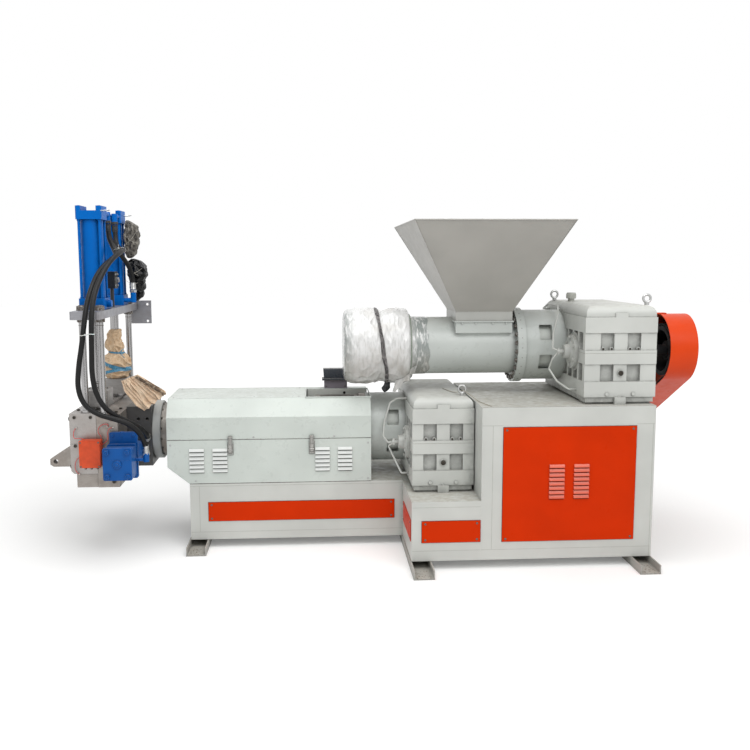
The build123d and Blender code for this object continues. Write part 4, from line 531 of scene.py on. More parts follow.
# Gearboxes: two ribbed grey iron castings, each split at its shafts. The foundry's sand texture shows through the
# enamel, thick in the pockets, which are darkened by grime and painted shade, and oil has wept over the plugs.
CAST_ENAMEL = enamel("cast_iron_enamel", "#C8CAC5", 0.42, cast=0.6, dust=0.4, chips=0.6, under="#6B6A64", grime_and_shade=0.9,
                     reach_mm=80)
paint(CAST_ENAMEL, "lower_gearbox_case", "lower_gearbox_cover", "upper_gearbox_case", "upper_gearbox_cover",
      "bearing_caps", "pulley_bearing_cap", "oil_pipes")
# Left, right, front and seat of each gearbox.
GEARBOXES = ((838, 1262, -752, 964), (-142, 228, -597, 417))
GEARBOX_DEEP = 900


def hex_bolt(bm, place, axis, across_mm, washer=True):
    """Hexagon head with a chamfered crown, on a plain washer."""
    r = across_mm / math.sqrt(3)
    h = across_mm * 0.42
    base = across_mm * 0.09 if washer else 0.0
    if washer:
        lathe(bm, [(r * 1.22, 0), (r * 1.22, base * 0.8), (r * 1.16, base), (r * 0.9, base)], 24, place, axis)
    lathe(bm, [(r, base), (r, base + h * 0.82), (r * 0.86, base + h), (0, base + h)], 6, place, axis,
          random.uniform(0, 1))
    lathe(bm, [(r * 0.84, base + h - 0.2), (r * 0.8, base + h + 0.25), (0, base + h + 0.25)], 18, place, axis)


def socket_head(rim, rise, crown, top, socket, bottom):
    """Profile of a screw or plug with a chamfered rim and a socket in its crown."""
    return [(rim, 0), (rim, rise), (crown, top), (socket, top), (socket, bottom), (0, bottom)]


def on_ring(x, y, z, radius, count, start=0.0):
    """Places spaced round a ring that faces along X."""
    return [at(x, y + radius * math.cos(turn), z + radius * math.sin(turn)) for turn in turns(count, start)]


bm = bmesh.new()
for x, y, z in ((816, -530, 1242), (-164, -375, 673)):
    for place in on_ring(x, y, z, 81, 6, 0.5):
        hex_bolt(bm, place, (-1, 0, 0), 19)
for place in on_ring(1280, -530, 1242, 80, 6):
    hex_bolt(bm, place, (1, 0, 0), 17)
for left, right, front, seat in GEARBOXES:
    middle = (left + right) / 2
    for y in (front + 6, front + GEARBOX_DEEP - 6):
        hex_bolt(bm, at(middle, y, seat + 30), (0, 0, 1), 22)
    for dx in (-78, 78):
        for y, side in ((front, -1), (front + GEARBOX_DEEP, 1)):
            hex_bolt(bm, at(middle + dx, y, seat + 48), (0, side, 0), 19, False)
mesh_piece("gearbox_bolts", bm, CAST_ENAMEL)

bm = bmesh.new()
for left, right, front, seat in GEARBOXES:
    middle = (left + right) / 2
    plug = at(middle, front - 8, seat + 171)
    lathe(bm, socket_head(12.5, 5, 10.5, 6.5, 7.5, 1.5), 6, plug, (0, -1, 0))
    lathe(bm, [(15.5, 0), (15.5, 1.6), (12.5, 1.8)], 24, plug, (0, -1, 0))
    for dx in (-104, -54, 54, 104):
        lathe(bm, [(7, 0), (7, 4), (5.6, 5.2), (0, 5.2)], 6, at(middle + dx, front + 6, seat + 311), (0, -1, 0))
# Bare steel under a film of dark oil.
OILED_STEEL = two_tone("oiled_steel", "#2A2724", "#57524B", 8, (0.25, 0.5), look={"Metallic": 0.85}, Detail=5.0)
mesh_piece("gearbox_plugs", bm, OILED_STEEL)

bm = bmesh.new()
for left, right, front, seat in GEARBOXES:
    split = seat + 286
    seam_strip(bm, (left + 2, front, split), (right - 2, front, split), (0, -1, 0), 2.2, 0.5)
    for x, side in ((left, -1), (right, 1)):
        seam_strip(bm, (x, front + 2, split), (x, front + GEARBOX_DEEP - 2, split), (side, 0, 0), 2.2, 0.5)
# Grey sealant squeezed out along the split.
mesh_piece("gearbox_split_lines", bm, two_tone("sealant_line", "#77746C", "#A9A79F", 12, 0.5, Detail=4.0))

# The lifting eyes are plated like the hoses' sleeves.
EYE_STEEL = ZINC.copy()
EYE_STEEL.name = "galvanised_eye"
paint(EYE_STEEL, "lifting_eyes")
# Moulded grey plastic, scuffed and finely pitted; the filler cap is ribbed for the hand.
FILLER_PLASTIC = two_tone("grey_filler_plastic", "#C9CAC4", "#A3A49D", 14, 0.48, raised_mm=0.08, grain_mm=0.9,
                          Detail=5.0)
paint(FILLER_PLASTIC, "oil_filler_cap")
CAP_X, CAP_Y, CAP_RADIUS = 924, -155, 29
bm = bmesh.new()
for turn in turns(24):
    lathe(bm, [(2.4, 0), (2.4, 26), (0, 28)], 8,
          at(CAP_X + CAP_RADIUS * math.cos(turn), CAP_Y + CAP_RADIUS * math.sin(turn), 1545), (0, 0, 1))
lathe(bm, [(CAP_RADIUS, 0), (27, 3.5), (14, 4.4), (13, 2.6), (0, 2.6)], 32, at(CAP_X, CAP_Y, 1576), (0, 0, 1))
mesh_piece("filler_cap_grip", bm, FILLER_PLASTIC)

# Hemp twine left in the lower gearbox's eye, lying over its cover.
TWINE = two_tone("hemp_twine", "#8C8577", "#C4BCAC", 2.4, 0.85, "TexWave", raised_mm=0.5, Distortion=2.0, Detail=2.0)
eye_twine = cord_curve("eye_twine", [
    (92, -215, 979.3), (108, -300, 979.3), (134, -390, 980), (152, -452, 989), (164, -488, 1004), (172, -506, 1007),
    (188, -516, 1000), (208, -528, 986), (232, -548, 968), (250, -590, 955), (262, -650, 954.2), (276, -720, 954.2),
    (292, -786, 954.2)], 2, TWINE)


# Belt drive: a grooved cast pulley, five V-belts running as one band, and an orange guard rolled from
# sheet, hung on two straps. The guard's rolled seam and its bolts show from the front.
def object_place(tree):
    """Outputs for X, Y and Z of the place in the object, in metres."""
    return add_node(tree, "SeparateXYZ", {0: add_node(tree, "TexCoord").outputs["Object"]}).outputs


# Black oxide and oil on cast iron, browned by rust.
IRON, tree, shader = new_material("pulley_iron")
sand = texture(tree, "TexNoise", 4.5, Detail=6.0)
rust = texture(tree, "TexNoise", 60, Detail=5.0)
stain = blend(tree, spread(tree, rust, 0.5, 0.72), "#242426", "#4A3A30")
feed(tree, shader, {"Base Color": blend(tree, sand, stain, "#3B3C3E"), "Metallic": 0.7,
                    "Roughness": spread(tree, rust, 0.3, 0.7, 0.34, 0.6), "Normal": bump(tree, sand, 0.25)})
paint(IRON, "drive_pulley", "motor_pulley")
# Dull belt rubber, with painted shade making the gaps between the five belts black.
BELT_PITCH = 0.0244
BELT_RUBBER, tree, shader = new_material("belt_rubber")
rib = maths(tree, "SINE", maths(tree, "MULTIPLY", object_place(tree)[0], 2 * math.pi / BELT_PITCH))
feed(tree, shader, {"Base Color": blend(tree, spread(tree, rib, -0.9, -0.5), "#0B0B0B", "#2B2A29"),
                    "Roughness": 0.72, "Normal": bump(tree, spread(tree, rib, -1.0, -0.4), 2.5)})
paint(BELT_RUBBER, "drive_belt")
paint(enamel("guard_orange_enamel", "#DA420C", 0.34, dust=0.1, wave=1.6, chips=0.5, under="#8A8880", shine=0.2),
      "belt_guard")
bm = bmesh.new()
for x, z in ((1268, 1471), (1310, 1473)):
    hex_bolt(bm, at(x, -530, z), (0, 0, 1), 17)
hex_bolt(bm, at(1270, -530, 1410), (1, 0, 0), 17)
for y, z in ((-700, 1180), (-640, 1400), (-420, 1420), (-330, 1280)):
    hex_bolt(bm, at(1518, y, z), (1, 0, 0), 13)
mesh_piece("guard_bolts", bm, ZINC)


# Upper extruder: a thick barrel bolted between the bell housing and the wrapped discharge head,
# all in the same light grey enamel; the flange bolts are left bare and have begun to rust.
BARREL_ENAMEL = enamel("barrel_enamel", "#C3C8C4", 0.3, dust=0.35, chips=0.3)
paint(BARREL_ENAMEL, "coupling_housing", "barrel_flange", "upper_barrel", "lower_coupling_housing", "hopper_saddle")
paint(enamel("head_enamel", "#8F9A8C", 0.4), "discharge_head")
UPPER_Y, UPPER_Z = -155, 1250
LOWER_Z = 703

# Bare bolt steel, brown in its corners and bright where the spanner went round.
RUSTED, tree, shader = new_material("rusting_bolt_steel")
rust = texture(tree, "TexNoise", 11, Detail=7.0, Roughness=0.65)
amount = spread(tree, rust, 0.42, 0.62)
feed(tree, shader, {"Base Color": blend(tree, amount, "#8B8985", "#4A372B"),
                    "Metallic": spread(tree, amount, 0, 1, 0.9, 0.15),
                    "Roughness": spread(tree, amount, 0, 1, 0.38, 0.85), "Normal": bump(tree, rust, 0.3)})
bm = bmesh.new()
for place in on_ring(534, UPPER_Y, UPPER_Z, 209, 24, 0.5):
    hex_bolt(bm, place, (-1, 0, 0), 24)
mesh_piece("barrel_flange_bolts", bm, RUSTED)
bm = bmesh.new()
for turn in turns(24):
    out = Vector((0, math.cos(turn), math.sin(turn)))
    lathe(bm, [(2.6, 0), (2.6, 1.2), (0, 1.2)], 10, at(560, UPPER_Y, UPPER_Z) + out * 0.236, out)
mesh_piece("flange_pin_marks", bm, RUSTED)
# Liners behind the windows of both coupling housings, coloured lighter than the housing: painted light in the shade
# inside the windows.
bm = bmesh.new()
for x0, x1, y, z in ((640, 790, UPPER_Y, UPPER_Z), (-300, -160, 0, LOWER_Z)):
    for ends in (((x0, 184), (x1, 184)), ((x0, 184), (x0, 190)), ((x1, 184), (x1, 190))):
        skin(bm, [[bm.verts.new(at(x, y + r * math.sin(turn), z + r * math.cos(turn))) for turn in turns(96)]
                  for x, r in ends], closed=True)
mesh_piece("coupling_window_liners", bm, enamel("window_liner_lightened_enamel", "#D2D6D0", 0.4, dust=0.3))


def machined_steel(name, light, dark, brown=0.35, rough=0.32, grain=(0.05, 1, 1)):
    """Milled or turned bare steel: fine tool marks one way, clouded by fingers and a little brown tarnish."""
    material, tree, shader = new_material(name)
    marks = texture(tree, "TexNoise", 1.6, grain, Detail=3.0)
    cloud = texture(tree, "TexNoise", 70, Detail=6.0, Roughness=0.6)
    tarnish = texture(tree, "TexNoise", 160, Detail=7.0, Roughness=0.68)
    tone = blend(tree, spread(tree, tarnish, 0.47, 0.68, 0, brown), blend(tree, marks, dark, light), "#5A4334")
    rounded = add_node(tree, "Bevel", {"Radius": 0.0018}, samples=4).outputs[0]
    # Corners darkened towards near black: painted shade.
    feed(tree, shader, {
        "Base Color": blend(tree, painted_corner_shade(tree, 30, 0.4, 0.95, 0.5), tone, "#211D1A"), "Metallic": 0.92,
        "Roughness": spread(tree, cloud, 0.3, 0.7, rough - 0.08, rough + 0.2),
        "Normal": bump(tree, marks, 0.05, rounded)})
    return material


# Turned screws, their tool marks round the axis.
paint(machined_steel("turned_screw_steel", "#A7A7A5", "#77777A", 0.2, 0.3, (1, 0.1, 0.1)), "upper_screw",
      "lower_screw_shank")


# Film wrap: clear stretch film wound in many layers round the discharge head for transport and on over
# the end of the barrel. Waisted by a twisted tie of darker film whose tail hangs in front.
WRAP_STATIONS = ((-540, 3), (-540, 128), (-539, 172), (-534, 204), (-524, 222), (-508, 231), (-480, 237),
                 (-440, 240), (-404, 240), (-370, 239), (-340, 235), (-318, 228), (-300, 223), (-284, 226),
                 (-262, 233), (-230, 237), (-190, 238), (-156, 236), (-138, 230), (-130, 220), (-127, 204),
                 (-118, 187), (-100, 183.5), (-70, 182.5), (-40, 182), (-12, 181.6))
WRAP_SIDE_STATIONS = WRAP_STATIONS[3:]
WRAP_TURNS = 300
WRAP_STEP = 4.2
HEAD_RADIUS = 181.2


def ridged(place, size_mm, sharp=2.2):
    """Folds of film or paper: 1 along creases about size_mm apart, falling off to 0 between them."""
    return (1 - abs(noise.noise(place * 1000 / size_mm))) ** sharp


def between(stations, place):
    """Values at a place between the rows of a table, each a place and its values; the last row's beyond it."""
    for (p0, *low), (p1, *high) in zip(stations, stations[1:]):
        if p0 <= place <= p1:
            return [a + (b - a) * (place - p0) / (p1 - p0) for a, b in zip(low, high)]
    return stations[-1][1:]


def round_head(x, turn, radius):
    """Point round the upper axis, turned from its top towards the front."""
    return at(x, UPPER_Y - radius * math.sin(turn), UPPER_Z + radius * math.cos(turn))


def wrap_crease(x, turn, base):
    """Wrinkles of the film in millimetres, drawn out round the axis and deeper away from the tight middle."""
    tight = min(1.0, max(0.12, (-110 - x) / 60)) if x > -190 else 1.0
    place = Vector((x / 1000 * 1.6, math.sin(turn) * 0.24, math.cos(turn) * 0.24))
    around = ridged(place, 85, 3.0) * 6.5 - 4.0
    slanted = ridged(Vector((x / 1000 + turn * 0.05, turn * 0.055, 0.3)), 26, 2.4) * 2.2 - 1.0
    fine = ridged(Vector((x / 1000 * 1.5, turn * 0.16, 1.7)), 9, 2.0) * 0.7 - 0.3
    return (around * min(1, base / 200) + slanted + fine) * tight


bm = bmesh.new()
stations = []
for (x0, r0), (x1, r1) in zip(WRAP_STATIONS, WRAP_STATIONS[1:]):
    steps = max(2, int(math.hypot(x1 - x0, r1 - r0) / WRAP_STEP))
    stations += [(x0 + (x1 - x0) * i / steps, r0 + (r1 - r0) * i / steps) for i in range(steps)]
rows = []
for x, r in stations + [WRAP_STATIONS[-1]]:
    row = []
    for turn in turns(WRAP_TURNS):
        crease = wrap_crease(x, turn, r)
        frayed = max(0.0, (x + 60) / 48) * noise.noise(Vector((turn * 1.9, 3.1, 0))) * 26
        wide = max(HEAD_RADIUS, r + crease) if x > -516 else r + crease * 0.9
        row.append(bm.verts.new(round_head(x + frayed, turn, wide)))
    rows.append(row)
skin(bm, rows[::-1], closed=True)

# Many layers of clear film: milky where they lie tight, streaked grey and green where air shows between, darker at both
# ends and darker towards the bottom, with painted shade in its creases.
FILM, tree, shader = new_material("stretch_film")
streak = texture(tree, "TexNoise", 26, (2.0, 0.45, 0.45), Detail=5.0, Roughness=0.55, Distortion=0.5)
cloud = texture(tree, "TexNoise", 120, Detail=4.0, Distortion=0.4)
glint = texture(tree, "TexVoronoi", 30, (1.6, 0.7, 0.7), Randomness=1.0)
film_x, _, film_z = object_place(tree)
ends = maths(tree, "MAXIMUM", spread(tree, film_x, -0.124, -0.055, 1.0, 0.0), spread(tree, film_x, 0.27, 0.33))
airy = maths(tree, "MULTIPLY", ends, spread(tree, streak, 0.36, 0.52))
darker_below = maths(tree, "MULTIPLY", spread(tree, film_z, 1.26, 1.06, 0.0, 0.8), spread(tree, cloud, 0.35, 0.6, 0.4, 1.0))
tone = blend(tree, spread(tree, streak, 0.5, 0.78), "#DFDFDE", "#A9A9A5")
for factor, colour in ((spread(tree, cloud, 0.5, 0.72, 0, 0.55), "#CBC7C1"), (airy, "#8F9592"), (darker_below, "#A39F97"),
                       (painted_corner_shade(tree, 12, 0.3, 0.9, 0.45), "#7A7C76")):
    tone = blend(tree, factor, tone, colour)
feed(tree, shader, {
    "Base Color": tone, "Roughness": spread(tree, streak, 0.35, 0.7, 0.14, 0.34), "Subsurface Weight": 0.12,
    "Subsurface Radius": (0.006, 0.006, 0.006), "Coat Weight": 0.35, "Coat Roughness": 0.08,
    "Normal": bump(tree, glint, 0.7, bump(tree, streak, 1.1))})
wrap = mesh_piece("wound_stretch_film", bm, FILM, 80)
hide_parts("film_wrap")

# The tie: a ribbon of darker film laid slanting round the waist.
bm = bmesh.new()
ribbon = []
for turn in turns(180) + [2 * math.pi]:
    middle = -298 - 34 * math.cos(turn) + 5 * noise.noise(Vector((turn * 2, 8, 0)))
    row = []
    for side in (j / 3 for j in range(-3, 4)):
        x = middle + side * (11 + 4 * noise.noise(Vector((turn * 1.5, 1, 0))))
        lift = 3.0 + 3.4 * (1 - side * side) + 2.5 * ridged(Vector((turn * 0.02, side * 0.02, 4)), 9)
        row.append(bm.verts.new(round_head(x, turn, between(WRAP_SIDE_STATIONS, x)[0] + lift)))
    ribbon.append(row)
skin(bm, ribbon)


def dark_film(name, dark, light, gloss=0.28):
    """Thin black or grey polyethylene, crumpled: sharp creases with a painted highlight along their edges."""
    material, tree, shader = new_material(name)
    crush = texture(tree, "TexVoronoi", 38, (1, 1, 0.55), "DISTANCE_TO_EDGE", Randomness=1.0)
    small = texture(tree, "TexNoise", 22, (1, 1, 0.4), Detail=3.0, Distortion=1.2)
    edge = spread(tree, crush, 0.0, 0.09, 1.0, 0.0)
    tone = blend(tree, spread(tree, small, 0.4, 0.68), dark, light)
    # Painted highlight: crease edges drawn towards the lighter tone.
    feed(tree, shader, {
        "Base Color": blend(tree, maths(tree, "MULTIPLY", edge, 0.35), tone, light),
        "Roughness": spread(tree, small, 0.35, 0.65, gloss, gloss + 0.2), "Specular IOR Level": 0.25,
        "Normal": bump(tree, small, 1.6, bump(tree, edge, 1.0))})
    return material


tie = mesh_piece("wrap_tie", bm, dark_film("twisted_tie_film", "#3A3838", "#8F8B8A"), 60)

# Height, middle and half sizes of the tie's tail, a crumpled bunch of black film.
TAIL_STATIONS = ((1052, -262, 9, 8), (1038, -266, 12, 10), (1020, -258, 17, 13), (1002, -262, 23, 15),
                 (986, -268, 25, 14), (972, -272, 19, 11), (962, -274, 10, 7), (957, -276, 3, 3))
TAIL_Y = -205
bm = bmesh.new()
rows = []
for z, x, half_x, half_y in TAIL_STATIONS:
    row = []
    for c, s in ((math.cos(turn), math.sin(turn)) for turn in turns(48)):
        crumple = 0.72 + 0.5 * ridged(Vector((c * 0.02, s * 0.02, z / 1000)), 13)
        row.append(bm.verts.new(at(x + half_x * crumple * c, TAIL_Y + half_y * crumple * s, z)))
    rows.append(row)
skin(bm, rows, closed=True)
tail = mesh_piece("wrap_tie_tail", bm, dark_film("black_tie_film", "#0D0D0F", "#4B4C50"), 60)

# The film's loose end, hanging in soft folds below the wrap.
bm = bmesh.new()
rows = []
for drop in parts(12):
    row = []
    for part in parts(25):
        x = -214 + 128 * part - 20 * drop * (1 - part) - 14 * drop * part
        hang = drop * (70 - 34 * part + 12 * math.sin(part * 9))
        fold = 7 * drop * math.sin(part * 21) + 5 * noise.noise(Vector((part * 5, drop * 3, 2)))
        radius = between(WRAP_SIDE_STATIONS, min(x, -121))[0] + 4
        held = round_head(x + fold * 0.6, math.radians(150 - 26 * part), radius)
        row.append(bm.verts.new(held - Vector((0, fold, hang)) / 1000))
    rows.append(row)
skin(bm, rows)
hanging = mesh_piece("hanging_film_end", bm, FILM, 80)


# Hopper: 3 mm sheet cut, bent and butt welded at its corners, sprayed a warmer grey than the machine.
# Its neck and saddle are bolted joints sealed with a bead; the rim is a folded edge rubbed by sacks.
HOPPER_ENAMEL = enamel("hopper_grey_enamel", "#AAA8A2", 0.42, dust=0.3, wave=1.4, chips=0.5, under="#80776C")
paint(HOPPER_ENAMEL, "hopper")
paint(enamel("neck_grey_enamel", "#B4B5B0", 0.4, dust=0.4, wave=0.5, chips=0.3), "hopper_neck")
RIM = ((-154, -775), (768, -775), (768, 465), (-154, 465))
NECK = ((151, -350), (502, -350), (502, 40), (151, 40))
bm = bmesh.new()
for (rim_x, rim_y), (neck_x, neck_y) in zip(RIM, NECK):
    outward = Vector((rim_x - neck_x, rim_y - neck_y, 0)).normalized()
    seam_strip(bm, (neck_x, neck_y, 1474), (rim_x, rim_y, 2012), outward, 5.0, 1.6)
for corners, z, width, height in ((NECK, 1472.5, 4.5, 1.8), (NECK, 1415.5, 4.0, 1.4), (RIM, 2011, 7.0, 1.0)):
    for (x0, y0), (x1, y1) in zip(corners, corners[1:] + corners[:1]):
        outward = Vector((y1 - y0, x0 - x1, 0)).normalized()
        seam_strip(bm, (x0, y0, z), (x1, y1, z), outward, width, height)
mesh_piece("hopper_weld_beads", bm, HOPPER_ENAMEL)
# Bolts of the joint between neck and saddle.
bm = bmesh.new()
for x in (190, 274, 379, 463):
    for y, side in ((-354, -1), (44, 1)):
        hex_bolt(bm, at(x, y, 1400), (0, side, 0), 11, False)
mesh_piece("saddle_bolts", bm, BARREL_ENAMEL)


# Lower extruder: its barrel lies under a folded sheet guard with a latched lid, flush with the bench. A
# recess in the lid is cut open round the feed mouth, whose bare steel shows inside.
GUARD_ENAMEL = enamel("barrel_guard_enamel", "#C9D0CA", 0.3, dust=0.3, wave=1.3, chips=0.5)
paint(GUARD_ENAMEL, "barrel_guard_lid", "barrel_guard_skirt")
paint(machined_steel("feed_barrel_steel", "#A29E98", "#77736D", 0.5, 0.42), "lower_barrel")
GUARD_LEFT, GUARD_RIGHT, LID_TOP = -1629, -371, 934
# The lid's gap under the hem is a dark strip of painted shadow.
hems, lid_gap_shadow = bmesh.new(), bmesh.new()
for y in (-BENCH_SIDE, BENCH_SIDE):
    face_seams(hems, y, [(GUARD_LEFT, 690, GUARD_RIGHT, 690)], width_mm=4.0, height_mm=2.2)
    face_seams(lid_gap_shadow, y, [(GUARD_LEFT, 686, GUARD_RIGHT, 686)], width_mm=3.0, height_mm=0.6)
for y, end, side in ((-226, -774, -0.45), (226, GUARD_RIGHT, 0.45)):
    seam_strip(hems, (GUARD_LEFT, y, LID_TOP), (end, y, LID_TOP), (0, side, 0.9), 3.0, 0.5)
mesh_piece("guard_hems", hems, GUARD_ENAMEL)
mesh_piece("guard_lid_gap_shadow", lid_gap_shadow, GASKET_AND_PAINTED_SHADOW)


# Angle trim on three sides of the cut-out, a plate at its back, and a tapped hole in the plate.
bm = bmesh.new()
for low, high in (((-778, -226), (-772, 150)), ((-369, -226), (-363, 150)), ((-778, -232), (-363, -226))):
    for vert in bmesh.ops.create_cube(bm, size=2.0)["verts"]:
        vert.co = at(*(b if part > 0 else a for part, a, b in zip(vert.co, (*low, 928), (*high, 937.5))))
bmesh.ops.bevel(bm, geom=list(bm.edges), offset=0.0012, segments=2, affect="EDGES", profile=0.6)
mesh_piece("cutout_angle_trim", bm, GUARD_ENAMEL)
bm = bmesh.new()
front_face, back_face = ([bm.verts.new(at(x, y, z)) for x, z in ((-768, 862), (-373, 862), (-373, 930), (-768, 930))]
                         for y in (146, 149))
bm.faces.new(front_face)
bm.faces.new(back_face[::-1])
skin(bm, [back_face, front_face], closed=True)
bmesh.ops.bevel(bm, geom=list(bm.edges), offset=0.001, segments=2, affect="EDGES")
# The plate is coloured lighter than the guard round it: painted light on a plate that lies in shade.
mesh_piece("cutout_back_plate", bm, enamel("cutout_plate_lightened_enamel", "#D2D4CE", 0.4, dust=0.3))
# Dark inside of holes and joints.
HOLE_DARK = two_tone("shadowed_hole", "#0B0B0A", "#1E1C1A", 6, 0.9)
bm = bmesh.new()
lathe(bm, [(9, 0), (9, 0.6), (0, 0.6)], 28, at(-520, 146, 905), (0, -1, 0))
mesh_piece("cutout_hole", bm, HOLE_DARK)

# Screws of the guard's sides and lid.
bm = bmesh.new()
for x, z in ((-1610, 655), (-1100, 700), (-600, 700), (-390, 655)):
    pan_screw(bm, at(x, -BENCH_SIDE, z), (0, -1, 0), 8)
for x in (-1460, -390):
    for side in (-1, 1):
        pan_screw(bm, at(x, side * BENCH_SIDE, 428), (0, side, 0), 8)
for x in (-1600, -820):
    for y in (-190, 190):
        pan_screw(bm, at(x, y, LID_TOP), (0, 0, 1), 8)
mesh_piece("guard_screws", bm, ZINC)

# Toggle latches: rivets, the two wires with their cross bar, the roller and the lever's pin, and the
# shadow round each plate.
LATCH_STEEL = machined_steel("pressed_latch_steel", "#B9B8B4", "#8F8E8A", 0.08, 0.32, (1, 1, 0.1))
paint(LATCH_STEEL, "guard_latches")
latches, shadows = bmesh.new(), bmesh.new()
for x, side in ((x, side) for x in (-1243, -740) for side in (-1, 1)):
    face = side * BENCH_SIDE
    for z, proud in ((601, 4), (654, 4), (703, 12)):
        for dx in (-9, 9):
            rivet = at(x + dx, face + side * proud, z)
            lathe(latches, [(3, 0), (2.7, 1.1), (1.6, 2.0), (0, 2.3)], 12, rivet, (0, side, 0))
    for dx in (-9.5, 9.5):
        lathe(latches, [(1.7, 0), (1.7, 56), (0, 56)], 10, at(x + dx, face + side * 14, 648), (0, 0, 1))
    lathe(latches, [(1.7, -9.5), (1.7, 9.5)], 10, at(x, face + side * 14, 704), (1, 0, 0))
    lathe(latches, [(4.2, -14), (4.2, 14), (0, 14)], 14, at(x, face + side * 15, 624), (1, 0, 0))
    lathe(latches, [(2.2, -17), (2.2, 17), (0, 17)], 10, at(x, face + side * 14, 600), (1, 0, 0))
    face_seams(shadows, face, [(x + dx, 590, x + dx, 672) for dx in (-17.5, 17.5)], width_mm=2.4, height_mm=0.5)
    face_seams(shadows, face, [(x - 17, 589, x + 17, 589)], width_mm=3.0, height_mm=0.5)
mesh_piece("latch_wires_and_rivets", latches, LATCH_STEEL)
mesh_piece("latch_shadow_gaps", shadows, GASKET_AND_PAINTED_SHADOW)

# The vent over the feed mouth: a box left in grey primer, under a folded black hood.
paint(enamel("vent_box_primer", "#8E8790", 0.5, dust=0.5, wave=0.6, chips=0.4), "vent_box")
paint(enamel("hood_black_enamel", "#373D46", 0.3, dust=0.5, wave=1.0, chips=0.4, under="#8C8A84"), "vent_hood")
bm = bmesh.new()
seam_strip(bm, (-668, 144, 990), (-486, 144, 990), (0, -0.7, -0.7), 3.5, 1.4)
seam_strip(bm, (-655, 158, 1001), (-499, 158, 1001), (0, -0.7, 0.7), 3.5, 1.6)
for x in (-640, -514):
    pan_screw(bm, at(x, 156, 948), (0, -1, 0), 7)
mesh_piece("vent_seams", bm, DARK_SCREW)


# Die head: ground and milled steel blocks clamped together, the split block at the left with the slide
# gates' guides, a black cast adapter to the barrel and a painted flange ring. Oiled and finger-marked.
paint(machined_steel("milled_die_steel", "#BBB7B4", "#989490", 0.22, 0.42, (1, 1, 0.12)), "die_block")
paint(machined_steel("ground_block_steel", "#AFA9A3", "#8B857F", 0.35, 0.44), "die_back_block", "die_base_plate",
      "bracket_arms")
paint(machined_steel("plate_steel", "#ABABAF", "#85858A", 0.25, 0.44), "cylinder_plate", "plate_bracket")
paint(machined_steel("gate_steel", "#A9A7A5", "#807E7C", 0.35, 0.4), "slide_gates")
# Hard chrome under a thin film of oil.
paint(two_tone("hard_chrome", "#B5B4B4", "#8E8C8C", 30, (0.1, 0.32), squash=(1, 1, 0.2), look={"Metallic": 1.0},
               Detail=5.0), "piston_rods", "tie_posts")
paint(enamel("black_adapter_enamel", "#454443", 0.42, cast=0.35, dust=0.6, chips=0.6, under="#7B7670"),
      "die_adapter")
paint(enamel("flange_ring_enamel", "#A6A8A6", 0.36, dust=0.4, chips=0.8, under="#5E5A55"), "die_flange")
DIE_LEFT, DIE_FRONT = -2175, -450
UP, FORWARD = (0, 0, 1), (0, -1, 0)

# Screws of the flange ring, then of the die's left end, its front and its top.
bm = bmesh.new()
for turn in turns(16, 0.5):
    hex_bolt(bm, at(-1690, 163 * math.sin(turn), LOWER_Z + 163 * math.cos(turn)), (1, 0, 0), 19)
for y in (-420, -300, -150, 150, 300, 420):
    for z in (850, 560):
        lathe(bm, socket_head(13, 8, 11.5, 10, 7, 3), 24, at(DIE_LEFT, y, z), (-1, 0, 0))
for x, z in ((-2145, 862), (-2145, 690), (-2050, 862)):
    lathe(bm, socket_head(9, 5, 7.5, 6, 4.5, 1.5), 20, at(x, DIE_FRONT, z), FORWARD)
for x, z in ((-1925, 850), (-1925, 470)):
    lathe(bm, socket_head(11, 6, 9.5, 7, 5.5, 2), 20, at(x, DIE_FRONT, z), FORWARD)
for y in (-330, -200, 200, 330):
    for x, z in ((-2150, 885), (-1925, 870)):
        lathe(bm, socket_head(10, 7, 8.5, 8, 5, 2), 20, at(x, y, z), UP)
mesh_piece("die_socket_screws", bm, OILED_STEEL)

# Joints between the die's blocks, the tie posts' nuts, and the screws and wiper rings of the gates.
bm = bmesh.new()
face_seams(bm, DIE_FRONT, [(-2018, 522, -2018, 869)], width_mm=2.0, height_mm=0.4)
for y in (DIE_FRONT, -DIE_FRONT):
    face_seams(bm, y, [(-2173, 702, -2020, 702)], width_mm=1.4, height_mm=0.3)
mesh_piece("die_split_lines", bm, HOLE_DARK)
bm = bmesh.new()
for x in (-2086, -1982):
    for y in (-405, 405):
        lathe(bm, [(30, 0), (30, 20), (27, 22), (20.6, 22)], 6, at(x, y, 1425), UP)
        lathe(bm, [(30, 0), (30, 24), (26.5, 27), (18, 27), (18, 30), (0, 31)], 6, at(x, y, 1495), UP, 0.4)
        lathe(bm, [(21.5, 0), (21.5, 3), (20.4, 3)], 28, at(x, y, 1405), UP)
mesh_piece("post_nuts", bm, RUSTED)
CYLINDER_X, CYLINDER_YS = -2041, (-265, 265)
bm = bmesh.new()
for y in CYLINDER_YS:
    for dx, dy in ((-53.2, 0), (53.2, 0), (0, 53.2), (0, -53.2)):
        lathe(bm, socket_head(5, 4, 4, 5, 2.6, 1), 12, at(CYLINDER_X + dx, y + dy, 1010), UP)
    for z in (1020, 1044):
        lathe(bm, [(36.6, 0), (37.2, 1.5), (36.6, 3)], 40, at(CYLINDER_X, y, z), UP)
mesh_piece("gate_screws", bm, OILED_STEEL)


